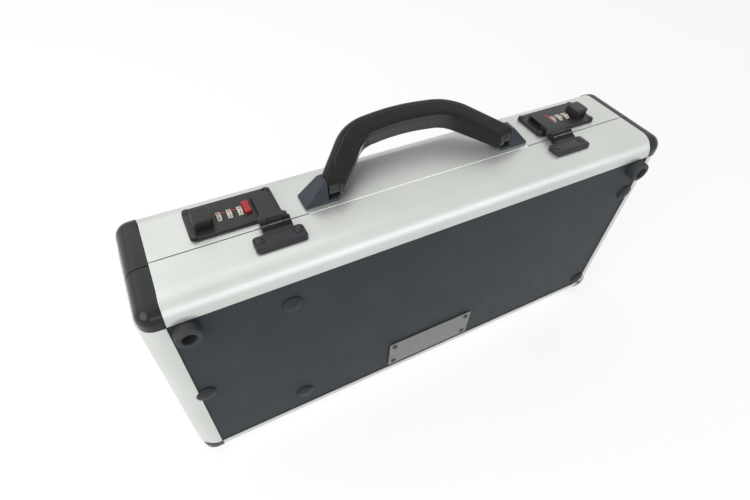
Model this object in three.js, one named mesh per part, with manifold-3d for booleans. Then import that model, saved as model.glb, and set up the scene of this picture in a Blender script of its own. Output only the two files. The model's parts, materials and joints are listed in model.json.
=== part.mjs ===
// A hard chef knife case, standing on its hinge side with the handle up. Millimetres, +Z up.
// X runs along the case, -Y is the face with the badge plate, +Y is the back half.
// The front half is the lid: it carries the keepers and hasps. The back half carries locks and handle.
// Each half is four aluminium extrusions, four plastic corners and a panel held in their grooves.
import * as THREE from 'three';
import { mergeVertices } from 'three/addons/utils/BufferGeometryUtils.js';
import Module from 'manifold-3d';

const wasm = await Module();
wasm.setup();

// Case
const CASE_LENGTH = 460;
const CASE_HEIGHT = 218;
const FRONT_DEPTH = 41;
const REAR_DEPTH = 54;
const PARTING_GAP = 0.8;

// Clearances
const SEAT = 0.25;
const RUNNING = 0.3;
const BEARING = 0.08;
const WELD = 0.0001;
const OVERRUN = 2;

// Extruded frame section
const FACE_WIDTH = 17.75;
const FACE_FLAT = 1.75;
const WALL = 1.6;
const LIP = 0.8;
const FLANGE = 1.2;
const FLANGE_SETBACK = 1;
const TONGUE_REACH = 5;
const TONGUE_ROOT = 6;
const TONGUE_THICKNESS = 1.2;

// Panels
const PANEL_THICKNESS = 3;
const PANEL_ENGAGEMENT = 3.6;

// Plastic corners, with the stands that the lower ones are moulded with
const CORNER_INSET = 2;
const CORNER_RADIUS = 11;
const CORNER_LAP = 1.4;
const CORNER_FACE_LAP = 0.25;
const CORNER_WALL = 2.4;
const CORNER_LEG_LENGTH = 12;
const CORNER_LEG_WIDTH = 9;
const CORNER_LEG_THICKNESS = 2;
const CORNER_LEG_ROOT = 4;
const STAND_HEIGHT = 6;
const STAND_RADIUS = 5;
const STAND_TAPER = 0.8;
const STAND_MARGIN = 0.4;
const STAND_SETBACK = 3;

// Foam inserts
const FOAM_MARGIN = 9;
const FOAM_CORNER_RADIUS = 12;
const REAR_FOAM_TOP_MARGIN = 17;
const REAR_FOAM_THICKNESS = 26;
const LID_FOAM_THICKNESS = 12;
const TROUGH_WIDTH = 27;
const TROUGH_DEPTH = 17;
const TROUGH_END_MARGIN = 14;
const TROUGH_LENGTH_SHARES = [1, 0.9, 0.78, 0.66];
const TROUGH_ROUND_SHARE = 0.4;

// Tube feet and studs of the front panel
const TUBE_FOOT_RADIUS = 9.25;
const TUBE_FOOT_BORE = 5;
const TUBE_FOOT_HEIGHT = 8.5;
const TUBE_FOOT_FLOOR = 1.5;
const TUBE_FOOT_ROUND = 1.2;
const TUBE_FOOT_DRAFT = 0.35;
const TUBE_FOOT_SIDE_MARGIN = 1.2;
const TUBE_FOOT_TOP_MARGIN = 0.8;
const STUD_RADIUS = 7.7;
const STUD_HEIGHT = 3;
const STUD_RIM = 0.9;
const LEFT_STUD_LAP = 3.2;
const LEFT_STUD_SHARE = 0.482;
const INNER_STUD_X = 81;
const INNER_STUD_LOW = 24;
const INNER_STUD_TOP_GAP = 24;
const RIGHT_STUD_LAP = 2.2;
const RIGHT_STUD_TOP_GAP = 41;
const RIGHT_STUD_LOW = 10.5;

// Badge plate
const BADGE_LENGTH = 93;
const BADGE_HEIGHT = 36.5;
const BADGE_THICKNESS = 1.4;
const BADGE_RADIUS = 1.2;
const BADGE_RAISE = 4.5;
const BADGE_X = 2;
const BADGE_RIVET_RADIUS = 2.5;
const BADGE_RIVET_HEIGHT = 0.9;
const BADGE_RIVET_INSET = 5.6;

// Lid hinges, under the bottom walls
const HINGE_MARGIN = 90;
const HINGE_WIDTH = 44;
const HINGE_LEAF = 14;
const HINGE_PLATE = 1.3;
const HINGE_BARREL_RADIUS = 2.3;
const HINGE_PIN_RADIUS = 1.1;
const HINGE_PIN_HEAD = 1;
const HINGE_KNUCKLES = 5;

// Lock plate and housing; u runs inwards from the plate's outer end, v back from its front edge
const LOCK_GAP_SHARE = 0.343;
const LOCK_FRONT_Y = 5;
const LOCK_LENGTH = 65;
const LOCK_DEPTH = 33;
const LOCK_RADIUS = 4.5;
const LOCK_PLATE = 2.5;
const LOCK_BEVEL = 0.7;
const LOCK_FLANGE = 1.1;
const LOCK_STEP = 0.8;
const LOCK_TUB_MARGIN = 4.5;
const LOCK_TUB_DEPTH = 10.8;
const LOCK_TUB_WALL = 1.2;
const BOSS_RADIUS = 2.6;
const BOSS_HEIGHT = 1.5;
const BOSS_INSET = 3.5;

// Number dials
const DIAL_U = 22.9;
const DIAL_PITCH = 7.5;
const DIAL_COUNT = 3;
const DIAL_V = 15.4;
const DIAL_RADIUS = 6.5;
const DIAL_WIDTH = 3.4;
const DIAL_RISE = 1.9;
const DIAL_NOTCH = 0.45;
const DIAL_NUMBERS = 10;
const AXLE_RADIUS = 1.4;
const AXLE_WEB = 1.2;
const DETENT_THICKNESS = 0.5;
const DETENT_FINGER = 2.2;
const DETENT_REACH = 10.5;

// Thumb slide with its bolt bar, and the change lever
const THUMB_U = 4.6;
const THUMB_LENGTH = 13.4;
const THUMB_V = 7.2;
const THUMB_DEPTH = 14.6;
const THUMB_HEIGHT = 7.4;
const THUMB_ROUND = 1.1;
const THUMB_TRAVEL = 3.5;
const THUMB_NECK = 5;
const BOLT_V = 23.2;
const BOLT_WIDTH = 3;
const BOLT_THICKNESS = 1.6;
const BOLT_DROP = 1;
const BOLT_TIP_LENGTH = 4.5;
const BOLT_TIP_RISE = 1.2;
const LEVER_GAP = 0.9;
const LEVER_LENGTH = 12;
const LEVER_WIDTH = 4.9;
const LEVER_V = 10;
const LEVER_HEIGHT = 2;
const LEVER_ROUND = 0.5;
const LEVER_STEM = 2;
const LEVER_TRAVEL = 2;

// Hasp, its hinge barrel and the keeper on the lid
const LEFT_BARREL_U = 55.8;
const RIGHT_BARREL_U = 50.2;
const HASP_SHIFT = 1.6;
const KEEPER_SHIFT = 1.1;
const HASP_WIDTH = 12;
const HASP_REAR_Y = 30;
const HASP_RISE = 7.2;
const HASP_SKIN = 1.5;
const HASP_NOSE = 1.4;
const HASP_FLARE_WIDTH = 21.5;
const HASP_FLARE_Y = 4.5;
const HASP_TAPER_Y = 6.5;
const HASP_WINDOW = 13;
const HASP_LUG_WIDTH = 4;
const HASP_LUG_LENGTH = 5;
const HASP_LUG_Y = 22;
const BARREL_Y = -3.2;
const BARREL_RISE = 4.9;
const BARREL_RADIUS = 2.9;
const BARREL_PIN_RADIUS = 1.1;
const BARREL_MIDDLE_SHARE = 0.5;
const KEEPER_LENGTH = 36.5;
const KEEPER_DEPTH = 14;
const KEEPER_REAR_Y = -9.8;
const KEEPER_PLATE = 3.2;
const KEEPER_TOE = 1.3;
const KEEPER_SLOPE = 3;
const KEEPER_ROLL = 1.8;
const KEEPER_RADIUS = 3.2;
const KEEPER_BEVEL = 0.7;
const KEEPER_RAMP = 1.9;
const KEEPER_BOSS_RADIUS = 2.9;
const KEEPER_BOSS_HEIGHT = 1.3;
const KEEPER_BOSS_INSET = 4.6;

// Handle: a bowed grip on two pins, leaning back on its stops
const HANDLE_Y = 11.8;
const HANDLE_LEAN = 75;
const PIVOT_RISE = 10.4;
const PIVOT_HALF_SPAN = 75.6;
const GRIP_HEIGHT = 39.4;
const GRIP_CROWN = 1.6;
const GRIP_LEG_LEAN = 41;
const GRIP_BEND = 16;
const GRIP_WIDTH = 20.7;
const GRIP_THICKNESS = 19;
const GRIP_END_THICKNESS = 15;
const GRIP_END_WIDTH = 19.6;
const GRIP_FOOT = 8;
const GRIP_FOOT_RADIUS = 9.4;
const GRIP_EYE_RADIUS = 7.6;
const GRIP_EYE_LENGTH = 11;
const GRIP_SIDE_GAP = 0.5;
const GRIP_GROOVE = 0.6;
const GRIP_ROUND_SHARE = 0.27;
const GRIP_SWELL_SHARE = 0.4;
const BRACKET_OUTER_X = 101.2;
const BRACKET_RIDGE_X = 84.8;
const BRACKET_CHEEK = 2.2;
const BRACKET_INNER_X = 74.5;
const BRACKET_WIDTH = 16;
const BRACKET_RIDGE_WIDTH = 11.5;
const BRACKET_HEIGHT = 17.6;
const BRACKET_TOE = 1.4;
const BRACKET_SOLE = 2.4;
const BRACKET_ROUND = 1;
const PIVOT_RADIUS = 2.6;
const PIVOT_LENGTH = 9;

// Sizes worked out from the ones above
const EDGE_RADIUS = FACE_WIDTH - FACE_FLAT;
const OPENING_X = CASE_LENGTH / 2 - FACE_WIDTH;
const OPENING_Z = CASE_HEIGHT / 2 - FACE_WIDTH;
const LID_DEPTH = FRONT_DEPTH - PARTING_GAP / 2;
const BASE_DEPTH = REAR_DEPTH - PARTING_GAP / 2;
const POCKET = PANEL_THICKNESS + 2 * SEAT;
const HINGE_X = CASE_LENGTH / 2 - HINGE_MARGIN;
const LOCK_ROOM = OPENING_X - BRACKET_OUTER_X - LOCK_LENGTH;
const LOCK_OUTER_X = BRACKET_OUTER_X + LOCK_ROOM * LOCK_GAP_SHARE + LOCK_LENGTH;
const BARREL_LENGTH = HASP_FLARE_WIDTH;
const LOCK_TOP = SEAT + LOCK_PLATE;
const BRACKET_FACE = BRACKET_RIDGE_X - BRACKET_CHEEK;
const STOP = THREE.MathUtils.degToRad(HANDLE_LEAN);

// Facets
const EDGE_STEPS = 7;
const ROUND_STEPS = 20;
const SMALL_STEPS = 12;
const FILLET_STEPS = 3;
const GRIP_STEPS = 8;

const materials = {
  aluminium: new THREE.MeshStandardMaterial({ color: 0xd3d8d2, roughness: 0.38, metalness: 0.85 }),
  corner: new THREE.MeshStandardMaterial({ color: 0x2b2d31, roughness: 0.22, metalness: 0 }),
  panel: new THREE.MeshStandardMaterial({ color: 0x42464b, roughness: 0.5, metalness: 0 }),
  foam: new THREE.MeshStandardMaterial({ color: 0x33353a, roughness: 0.95, metalness: 0 }),
  rubber: new THREE.MeshStandardMaterial({ color: 0x35383a, roughness: 0.75, metalness: 0 }),
  badge: new THREE.MeshStandardMaterial({ color: 0x6e6c66, roughness: 0.4, metalness: 0.7 }),
  lock: new THREE.MeshStandardMaterial({ color: 0x3c3e42, roughness: 0.4, metalness: 0.6 }),
  steel: new THREE.MeshStandardMaterial({ color: 0x9a9c9e, roughness: 0.3, metalness: 1 }),
  dial: new THREE.MeshStandardMaterial({ color: 0xe6e1d2, roughness: 0.45, metalness: 0 }),
  lever: new THREE.MeshStandardMaterial({ color: 0xc8343a, roughness: 0.4, metalness: 0 }),
  grip: new THREE.MeshStandardMaterial({ color: 0x2a2825, roughness: 0.42, metalness: 0 }),
  bracket: new THREE.MeshStandardMaterial({ color: 0x3a3f49, roughness: 0.4, metalness: 0 }),
};

// Solids

function solid(geometry) {
  const bare = geometry.index ? geometry.toNonIndexed() : geometry.clone();
  bare.deleteAttribute('normal');
  bare.deleteAttribute('uv');
  const merged = mergeVertices(bare, WELD);
  const index = merged.index.array;
  const kept = [];
  for (let i = 0; i < index.length; i += 3) {
    const [a, b, c] = [index[i], index[i + 1], index[i + 2]];
    if (a !== b && b !== c && c !== a) kept.push(a, b, c);
  }
  return new wasm.Manifold(new wasm.Mesh({
    numProp: 3,
    vertProperties: new Float32Array(merged.attributes.position.array),
    triVerts: new Uint32Array(kept),
  }));
}

function geometryOf(body) {
  const mesh = body.getMesh();
  const geometry = new THREE.BufferGeometry();
  geometry.setAttribute('position', new THREE.BufferAttribute(mesh.vertProperties, 3));
  geometry.setIndex(new THREE.BufferAttribute(mesh.triVerts, 1));
  geometry.computeVertexNormals();
  return geometry;
}

function unite(...bodies) {
  return bodies.reduce((whole, next) => whole.add(next));
}

function cut(body, ...tools) {
  return tools.reduce((left, tool) => left.subtract(tool), body);
}

function mirroredX(body) {
  return body.mirror([1, 0, 0]);
}

function box(x, y, z) {
  const geometry = new THREE.BoxGeometry(x[1] - x[0], y[1] - y[0], z[1] - z[0]);
  geometry.translate((x[0] + x[1]) / 2, (y[0] + y[1]) / 2, (z[0] + z[1]) / 2);
  return solid(geometry);
}

// Prisms: the outline's two coordinates are the two axes that follow the prism's own in X, Y, Z order.
function prismZ(outline, z, curveSegments = FILLET_STEPS) {
  const geometry = new THREE.ExtrudeGeometry(outline, { depth: z[1] - z[0], bevelEnabled: false, curveSegments });
  geometry.translate(0, 0, z[0]);
  return solid(geometry);
}

function prismX(outline, x, curveSegments = FILLET_STEPS) {
  const turn = new THREE.Matrix4().makeBasis(
    new THREE.Vector3(0, 1, 0), new THREE.Vector3(0, 0, 1), new THREE.Vector3(1, 0, 0));
  const geometry = new THREE.ExtrudeGeometry(outline, { depth: x[1] - x[0], bevelEnabled: false, curveSegments });
  geometry.applyMatrix4(turn);
  geometry.translate(x[0], 0, 0);
  return solid(geometry);
}

// The outline is in X and Z.
function prismY(outline, y, curveSegments = FILLET_STEPS) {
  const geometry = new THREE.ExtrudeGeometry(outline, { depth: y[1] - y[0], bevelEnabled: false, curveSegments });
  geometry.rotateX(Math.PI / 2);
  geometry.translate(0, y[1], 0);
  return solid(geometry);
}

// A plate with rounded corners and a bevelled upper edge, its outline in X and Y.
function bevelledPlate(x, y, z, radius, bevel) {
  const inner = roundedRect([x[0] + bevel, x[1] - bevel], [y[0] + bevel, y[1] - bevel], radius - bevel);
  const geometry = new THREE.ExtrudeGeometry(inner, {
    depth: z[1] - z[0], bevelEnabled: true, bevelThickness: bevel, bevelSize: bevel,
    bevelSegments: 2, curveSegments: FILLET_STEPS,
  });
  geometry.translate(0, 0, z[0] - bevel);
  const under = box([x[0] - bevel, x[1] + bevel], [y[0] - bevel, y[1] + bevel], [z[0] - 2 * bevel, z[0]]);
  return cut(solid(geometry), under);
}

function roundedRect(x, y, radius) {
  const shape = new THREE.Shape();
  shape.moveTo(x[0] + radius, y[0]);
  shape.lineTo(x[1] - radius, y[0]);
  shape.absarc(x[1] - radius, y[0] + radius, radius, -Math.PI / 2, 0, false);
  shape.lineTo(x[1], y[1] - radius);
  shape.absarc(x[1] - radius, y[1] - radius, radius, 0, Math.PI / 2, false);
  shape.lineTo(x[0] + radius, y[1]);
  shape.absarc(x[0] + radius, y[1] - radius, radius, Math.PI / 2, Math.PI, false);
  shape.lineTo(x[0], y[0] + radius);
  shape.absarc(x[0] + radius, y[0] + radius, radius, Math.PI, 1.5 * Math.PI, false);
  return shape;
}

function polygon(points) {
  return new THREE.Shape(points.map(([x, y]) => new THREE.Vector2(x, y)));
}

// Turned about the Y axis; the profile runs from the axis at low y to the axis at high y.
function turned(points, steps = ROUND_STEPS) {
  return solid(new THREE.LatheGeometry(points.map(([r, y]) => new THREE.Vector2(r, y)), steps));
}

function arcPoints(centreR, centreY, radius, from, to, steps) {
  return Array.from({ length: steps + 1 }, (_, i) => {
    const angle = from + ((to - from) * i) / steps;
    return [centreR + radius * Math.cos(angle), centreY + radius * Math.sin(angle)];
  });
}

function rodX(radius, x, y, z, steps = SMALL_STEPS) {
  const geometry = new THREE.CylinderGeometry(radius, radius, x[1] - x[0], steps);
  geometry.rotateZ(Math.PI / 2);
  geometry.translate((x[0] + x[1]) / 2, y, z);
  return solid(geometry);
}

function rodZ(radius, topRadius, x, y, z, steps = SMALL_STEPS) {
  const geometry = new THREE.CylinderGeometry(topRadius, radius, z[1] - z[0], steps);
  geometry.rotateX(Math.PI / 2);
  geometry.translate(x, y, (z[0] + z[1]) / 2);
  return solid(geometry);
}

// A low dome standing on +Z, with a straight rim below it
function domeZ(radius, height, rim, x, y, z, steps = SMALL_STEPS) {
  const rise = height - rim;
  const sphere = (radius * radius + rise * rise) / (2 * rise);
  const edge = Math.asin(radius / sphere);
  const cap = arcPoints(0, height - sphere, sphere, Math.PI / 2 - edge, Math.PI / 2, FILLET_STEPS);
  cap[cap.length - 1][0] = 0;
  const body = solid(new THREE.LatheGeometry(
    [[0, 0], [radius, 0], ...cap].map(([r, h]) => new THREE.Vector2(r, h)), steps));
  return body.rotate([90, 0, 0]).translate([x, y, z]);
}

// The halves. Each is built with its face towards -Y, its parting plane at y = 0 and its middle at z = 0.

function profileOutline(depth, inset, overrun) {
  const radius = EDGE_RADIUS - inset;
  const shape = new THREE.Shape();
  shape.moveTo(overrun, -inset);
  shape.lineTo(overrun, -FACE_WIDTH - overrun);
  shape.lineTo(-depth + inset, -FACE_WIDTH - overrun);
  shape.lineTo(-depth + inset, -EDGE_RADIUS);
  shape.absarc(-depth + EDGE_RADIUS, -EDGE_RADIUS, radius, Math.PI, Math.PI / 2, true);
  return shape;
}

// One length of the extrusion, along X, its outer wall at z = 0
function extrusion(depth, length, hasTongue) {
  const half = length / 2;
  const cutBack = half - CORNER_LAP + CORNER_FACE_LAP;
  const x = [-length / 2, length / 2];
  const longer = [x[0] - OVERRUN, x[1] + OVERRUN];
  const outer = prismX(profileOutline(depth, 0, 0), x, EDGE_STEPS);
  const hollow = prismX(profileOutline(depth, WALL, OVERRUN), longer, EDGE_STEPS);
  const pocketBack = -depth + LIP + POCKET;
  const pocketZ = -FACE_WIDTH + PANEL_ENGAGEMENT + SEAT;
  const pocket = box(longer, [-depth + LIP, pocketBack], [-FACE_WIDTH - OVERRUN, pocketZ]);
  const flange = box(x, [pocketBack, pocketBack + FLANGE], [-FACE_WIDTH + FLANGE_SETBACK, -WALL / 2]);
  let bar = unite(cut(outer, hollow, pocket), flange.intersect(outer));
  if (hasTongue) {
    const under = -WALL - RUNNING;
    const tongue = box(x, [-TONGUE_ROOT, TONGUE_REACH], [under - TONGUE_THICKNESS, under]);
    const root = box(x, [-TONGUE_ROOT, -RUNNING], [under - TONGUE_THICKNESS, -WALL / 2]);
    bar = unite(bar, tongue, root);
  }
  const plan = polygon([
    [-half, -depth - OVERRUN], [half, -depth - OVERRUN], [half, -depth], [cutBack, EDGE_RADIUS - depth],
    [cutBack, 2 * TONGUE_REACH], [-cutBack, 2 * TONGUE_REACH], [-cutBack, EDGE_RADIUS - depth], [-half, -depth]]);
  return bar.intersect(prismZ(plan, [-FACE_WIDTH - OVERRUN, OVERRUN]));
}

// A block in the corner of the opening, at x = z = 0, with its outer edges rounded. It laps onto the two
// bars' ends, less towards the face. Its face is at y = depth.
function cornerBlock(from, depth, reach, radius, overlap) {
  const rows = [[0, from], ...arcPoints(radius, depth - radius, radius, Math.PI, Math.PI / 2, EDGE_STEPS)];
  const rings = rows.map(([shrink, y]) => {
    const lap = CORNER_FACE_LAP + (CORNER_LAP - CORNER_FACE_LAP) * Math.min(1, (depth - y) / EDGE_RADIUS) + overlap;
    const side = reach - shrink;
    const round = Math.max(radius - shrink, SEAT);
    const outline = [[-lap, -overlap], [-overlap, -overlap], [-overlap, -lap], [side, -lap],
      ...arcPoints(side - round, side - round, round, 0, Math.PI / 2, EDGE_STEPS), [-lap, side]];
    return outline.map(([x, z]) => [x, y, z]);
  });
  const body = loft(rings);
  return body.volume() < 0 ? loft(rings.map((ring) => ring.slice().reverse())) : body;
}

function cornerBody(depth, hasStand) {
  const outer = FACE_WIDTH - CORNER_INSET;
  const hollow = cornerBlock(-OVERRUN, depth - CORNER_WALL, outer - CORNER_WALL, CORNER_RADIUS - CORNER_WALL, OVERRUN);
  const within = [-CORNER_LAP - OVERRUN, PANEL_ENGAGEMENT + SEAT];
  let body = cut(cornerBlock(0, depth, outer, CORNER_RADIUS, 0), hollow,
    box(within, [depth - LIP - POCKET, depth - LIP], within));

  const legTop = outer - RUNNING;
  const legY = [depth - EDGE_RADIUS - CORNER_LEG_WIDTH, depth - EDGE_RADIUS];
  const leg = box([-CORNER_LEG_LENGTH, CORNER_LEG_ROOT], legY, [legTop - CORNER_LEG_THICKNESS, legTop]);
  body = unite(body, leg, leg.mirror([1, 0, -1]));
  if (hasStand) {
    const x = STAND_RADIUS + STAND_MARGIN;
    const y = depth - EDGE_RADIUS - STAND_SETBACK - STAND_RADIUS;
    body = unite(body, rodZ(STAND_RADIUS, STAND_RADIUS - STAND_TAPER, x, y,
      [outer - 2 * CORNER_WALL, FACE_WIDTH + STAND_HEIGHT]));
  }
  return body.mirror([0, 1, 0]);
}

function panelBody(depth) {
  const x = OPENING_X + PANEL_ENGAGEMENT;
  const z = OPENING_Z + PANEL_ENGAGEMENT;
  const face = -depth + LIP + SEAT;
  return box([-x, x], [face, face + PANEL_THICKNESS], [-z, z]);
}

function foamOutline(topMargin) {
  const x = CASE_LENGTH / 2 - FOAM_MARGIN;
  return roundedRect([-x, x], [-CASE_HEIGHT / 2 + FOAM_MARGIN, CASE_HEIGHT / 2 - topMargin], FOAM_CORNER_RADIUS);
}

function foamBack(depth) {
  return -depth + LIP + POCKET + FLANGE + SEAT;
}

// Foam with one trough for each knife, the longest at the bottom, ends in turn at left and right
function rearFoamBody() {
  const back = foamBack(BASE_DEPTH);
  const open = back + REAR_FOAM_THICKNESS;
  let foam = prismY(foamOutline(REAR_FOAM_TOP_MARGIN), [back, open], FILLET_STEPS);
  const reach = CASE_LENGTH / 2 - FOAM_MARGIN - TROUGH_END_MARGIN;
  const low = -CASE_HEIGHT / 2 + FOAM_MARGIN;
  const pitch = (CASE_HEIGHT - FOAM_MARGIN - REAR_FOAM_TOP_MARGIN) / TROUGH_LENGTH_SHARES.length;
  TROUGH_LENGTH_SHARES.forEach((share, i) => {
    const z = low + (i + 1 / 2) * pitch;
    const length = 2 * reach * share;
    const x = i % 2 ? [reach - length, reach] : [-reach, length - reach];
    const outline = roundedRect(x, [z - TROUGH_WIDTH / 2, z + TROUGH_WIDTH / 2], TROUGH_WIDTH * TROUGH_ROUND_SHARE);
    foam = cut(foam, prismY(outline, [open - TROUGH_DEPTH, open + OVERRUN], FILLET_STEPS));
  });
  return foam;
}

function lidFoamBody() {
  const back = foamBack(LID_DEPTH);
  return prismY(foamOutline(FOAM_MARGIN), [back, back + LID_FOAM_THICKNESS], FILLET_STEPS);
}

function named(name, body, material, parent) {
  const mesh = new THREE.Mesh(geometryOf(body), material);
  mesh.name = name;
  parent.add(mesh);
  return mesh;
}

// Sides in the order of quarter turns from the top, seen from the front face
const SIDES = ['top', 'right', 'bottom', 'left'];
const CORNERS = ['top_right', 'bottom_right', 'bottom_left', 'top_left'];

function makeHalf(prefix, depth, hasTongue, topCuts, names) {
  const half = new THREE.Group();
  SIDES.forEach((_, turn) => {
    const upright = turn % 2 === 1;
    const length = (upright ? CASE_HEIGHT : CASE_LENGTH) - 2 * FACE_WIDTH - 2 * SEAT - 2 * CORNER_FACE_LAP;
    const reach = upright ? CASE_LENGTH / 2 : CASE_HEIGHT / 2;
    let bar = extrusion(depth, length, hasTongue);
    if (turn === 0) bar = cut(bar, ...topCuts);
    const mesh = named(`${prefix}_frame_${names.sides[turn]}`, bar, materials.aluminium, half);
    mesh.rotation.y = (turn * Math.PI) / 2;
    mesh.position.set(Math.sin(mesh.rotation.y) * reach, 0, Math.cos(mesh.rotation.y) * reach);
  });
  CORNERS.forEach((_, turn) => {
    const right = turn < 2 ? 1 : -1;
    const up = turn === 0 || turn === 3 ? 1 : -1;
    let corner = cornerBody(depth, up < 0);
    if (right < 0) corner = corner.mirror([1, 0, 0]);
    if (up < 0) corner = corner.mirror([0, 0, 1]);
    const mesh = named(`${prefix}_corner_${names.corners[turn]}`, corner, materials.corner, half);
    mesh.position.set(right * OPENING_X, 0, up * OPENING_Z);
  });
  named(`${prefix}_panel`, panelBody(depth), materials.panel, half);
  return half;
}

// Seen from the front, a half that is turned round has its left and right exchanged.
const FRONT_NAMES = { sides: SIDES, corners: CORNERS };
const REAR_NAMES = {
  sides: ['top', 'left', 'bottom', 'right'],
  corners: ['top_left', 'bottom_left', 'bottom_right', 'top_right'],
};

// Feet, studs and badge plate of the front panel. Heights are from the opening's lower edge.

function clearOfFrame(body) {
  const front = -FRONT_DEPTH - SEAT;
  const far = [OPENING_X - SEAT, CASE_LENGTH / 2];
  const high = [OPENING_Z - SEAT, CASE_HEIGHT / 2];
  const depth = [front, 0];
  return cut(body,
    box(far, depth, [-high[1], high[1]]), box([-far[1], -far[0]], depth, [-high[1], high[1]]),
    box([-far[1], far[1]], depth, high), box([-far[1], far[1]], depth, [-high[1], -high[0]]));
}

const PANEL_FACE = -FRONT_DEPTH + LIP;

// The tube foot stands on the panel, open end towards -Y.
function tubeFootBody() {
  const rim = TUBE_FOOT_HEIGHT - TUBE_FOOT_ROUND;
  const tip = TUBE_FOOT_RADIUS - TUBE_FOOT_DRAFT - TUBE_FOOT_ROUND;
  const mouth = TUBE_FOOT_BORE + TUBE_FOOT_ROUND / 2;
  const points = [[0, 0], [TUBE_FOOT_RADIUS, 0],
    ...arcPoints(tip, rim, TUBE_FOOT_ROUND, 0, Math.PI / 2, FILLET_STEPS),
    [mouth, TUBE_FOOT_HEIGHT], [TUBE_FOOT_BORE, TUBE_FOOT_HEIGHT - TUBE_FOOT_ROUND / 2],
    [TUBE_FOOT_BORE, TUBE_FOOT_FLOOR], [0, TUBE_FOOT_FLOOR]];
  return turned(points).mirror([0, 1, 0]);
}

function addPanelFittings(lid) {
  for (const [side, sign] of [['left', -1], ['right', 1]]) {
    const foot = named(`tube_foot_${side}`, tubeFootBody(), materials.rubber, lid);
    foot.position.set(
      sign * (OPENING_X - TUBE_FOOT_RADIUS - TUBE_FOOT_SIDE_MARGIN), PANEL_FACE,
      OPENING_Z - TUBE_FOOT_RADIUS - TUBE_FOOT_TOP_MARGIN);
  }
  const full = 2 * OPENING_Z;
  const studs = {
    stud_left_edge: [-OPENING_X + STUD_RADIUS - LEFT_STUD_LAP, full * LEFT_STUD_SHARE],
    stud_left_low: [-OPENING_X + INNER_STUD_X, INNER_STUD_LOW],
    stud_left_high: [-OPENING_X + INNER_STUD_X, full - INNER_STUD_TOP_GAP],
    stud_right_high: [OPENING_X - STUD_RADIUS + RIGHT_STUD_LAP, full - RIGHT_STUD_TOP_GAP],
    stud_right_low: [OPENING_X - STUD_RADIUS + RIGHT_STUD_LAP, RIGHT_STUD_LOW],
  };
  for (const [name, [x, height]] of Object.entries(studs)) {
    const dome = domeZ(STUD_RADIUS, STUD_HEIGHT, STUD_RIM, 0, 0, 0, SMALL_STEPS + 4).rotate([90, 0, 0]);
    const placed = dome.translate([x, PANEL_FACE, height - OPENING_Z]);
    named(name, clearOfFrame(placed), materials.rubber, lid);
  }
  const badge = named('badge_plate', badgeBody(), materials.badge, lid);
  badge.position.set(BADGE_X, PANEL_FACE, -OPENING_Z + BADGE_RAISE + BADGE_HEIGHT / 2);
}

function badgeBody() {
  const x = BADGE_LENGTH / 2;
  const z = BADGE_HEIGHT / 2;
  let plate = bevelledPlate([-x, x], [-z, z], [0, BADGE_THICKNESS], BADGE_RADIUS, BADGE_THICKNESS / 3);
  for (const right of [-1, 1]) {
    for (const up of [-1, 1]) {
      plate = unite(plate, domeZ(BADGE_RIVET_RADIUS, BADGE_RIVET_HEIGHT, BADGE_RIVET_HEIGHT / 3,
        right * (x - BADGE_RIVET_INSET), up * (z - BADGE_RIVET_INSET), BADGE_THICKNESS - SEAT));
    }
  }
  return plate.rotate([90, 0, 0]);
}

// Lid hinges: the knuckle axis lies under the parting plane. The lid's leaf has the even knuckles.

const HINGE_AXIS_DROP = SEAT + HINGE_BARREL_RADIUS + RUNNING;

function hingeLeafBody(sign, parity) {
  const x = HINGE_WIDTH / 2;
  const pitch = HINGE_WIDTH / HINGE_KNUCKLES;
  const y = [sign * HINGE_LEAF, sign * HINGE_BARREL_RADIUS].sort((a, b) => a - b);
  const z = [HINGE_AXIS_DROP - SEAT - HINGE_PLATE, HINGE_AXIS_DROP - SEAT];
  let leaf = prismZ(roundedRect([-x, x], y, HINGE_PLATE), z);
  for (let i = 0; i < HINGE_KNUCKLES; i += 1) {
    const knuckle = [-x + i * pitch + RUNNING / 2, -x + (i + 1) * pitch - RUNNING / 2];
    if (i % 2 === parity) {
      const strap = [0, sign * (HINGE_BARREL_RADIUS + HINGE_PLATE)].sort((a, b) => a - b);
      leaf = unite(leaf, rodX(HINGE_BARREL_RADIUS, knuckle, 0, 0), box(knuckle, strap, z));
    }
  }
  return cut(leaf, rodX(HINGE_PIN_RADIUS + BEARING, [-x - OVERRUN, x + OVERRUN], 0, 0));
}

function hingePinBody() {
  const x = HINGE_WIDTH / 2 + RUNNING;
  return unite(
    rodX(HINGE_PIN_RADIUS, [-x, x], 0, 0),
    rodX(HINGE_BARREL_RADIUS - RUNNING, [x, x + HINGE_PIN_HEAD], 0, 0),
    rodX(HINGE_BARREL_RADIUS - RUNNING, [-x - HINGE_PIN_HEAD, -x], 0, 0));
}

// Locks. Each is built as the left one, its origin on the wall at the plate's outer front corner.

const TUB_U = [LOCK_TUB_MARGIN, LOCK_LENGTH - LOCK_TUB_MARGIN];
const TUB_V = [LOCK_TUB_MARGIN, LOCK_DEPTH - LOCK_TUB_MARGIN];
const DIAL_DROP = LOCK_TOP + DIAL_RISE - DIAL_RADIUS;
const LAST_DIAL_U = DIAL_U + (DIAL_COUNT - 1) * DIAL_PITCH;
const LEVER_U = LAST_DIAL_U + DIAL_WIDTH / 2 + LEVER_GAP;
const BOLT_Z = [-BOLT_DROP - BOLT_THICKNESS, -BOLT_DROP];
const NECK_U = [THUMB_U + THUMB_LENGTH - THUMB_ROUND - THUMB_NECK, THUMB_U + THUMB_LENGTH - THUMB_ROUND];
const NECK_V = [THUMB_V + (THUMB_DEPTH - THUMB_NECK) / 2, THUMB_V + (THUMB_DEPTH + THUMB_NECK) / 2];
const STEM_U = [LEVER_U + LEVER_WIDTH - LEVER_ROUND - LEVER_STEM, LEVER_U + LEVER_WIDTH - LEVER_ROUND];
const WEB_U = DIAL_WIDTH / 2 + RUNNING;
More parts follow.
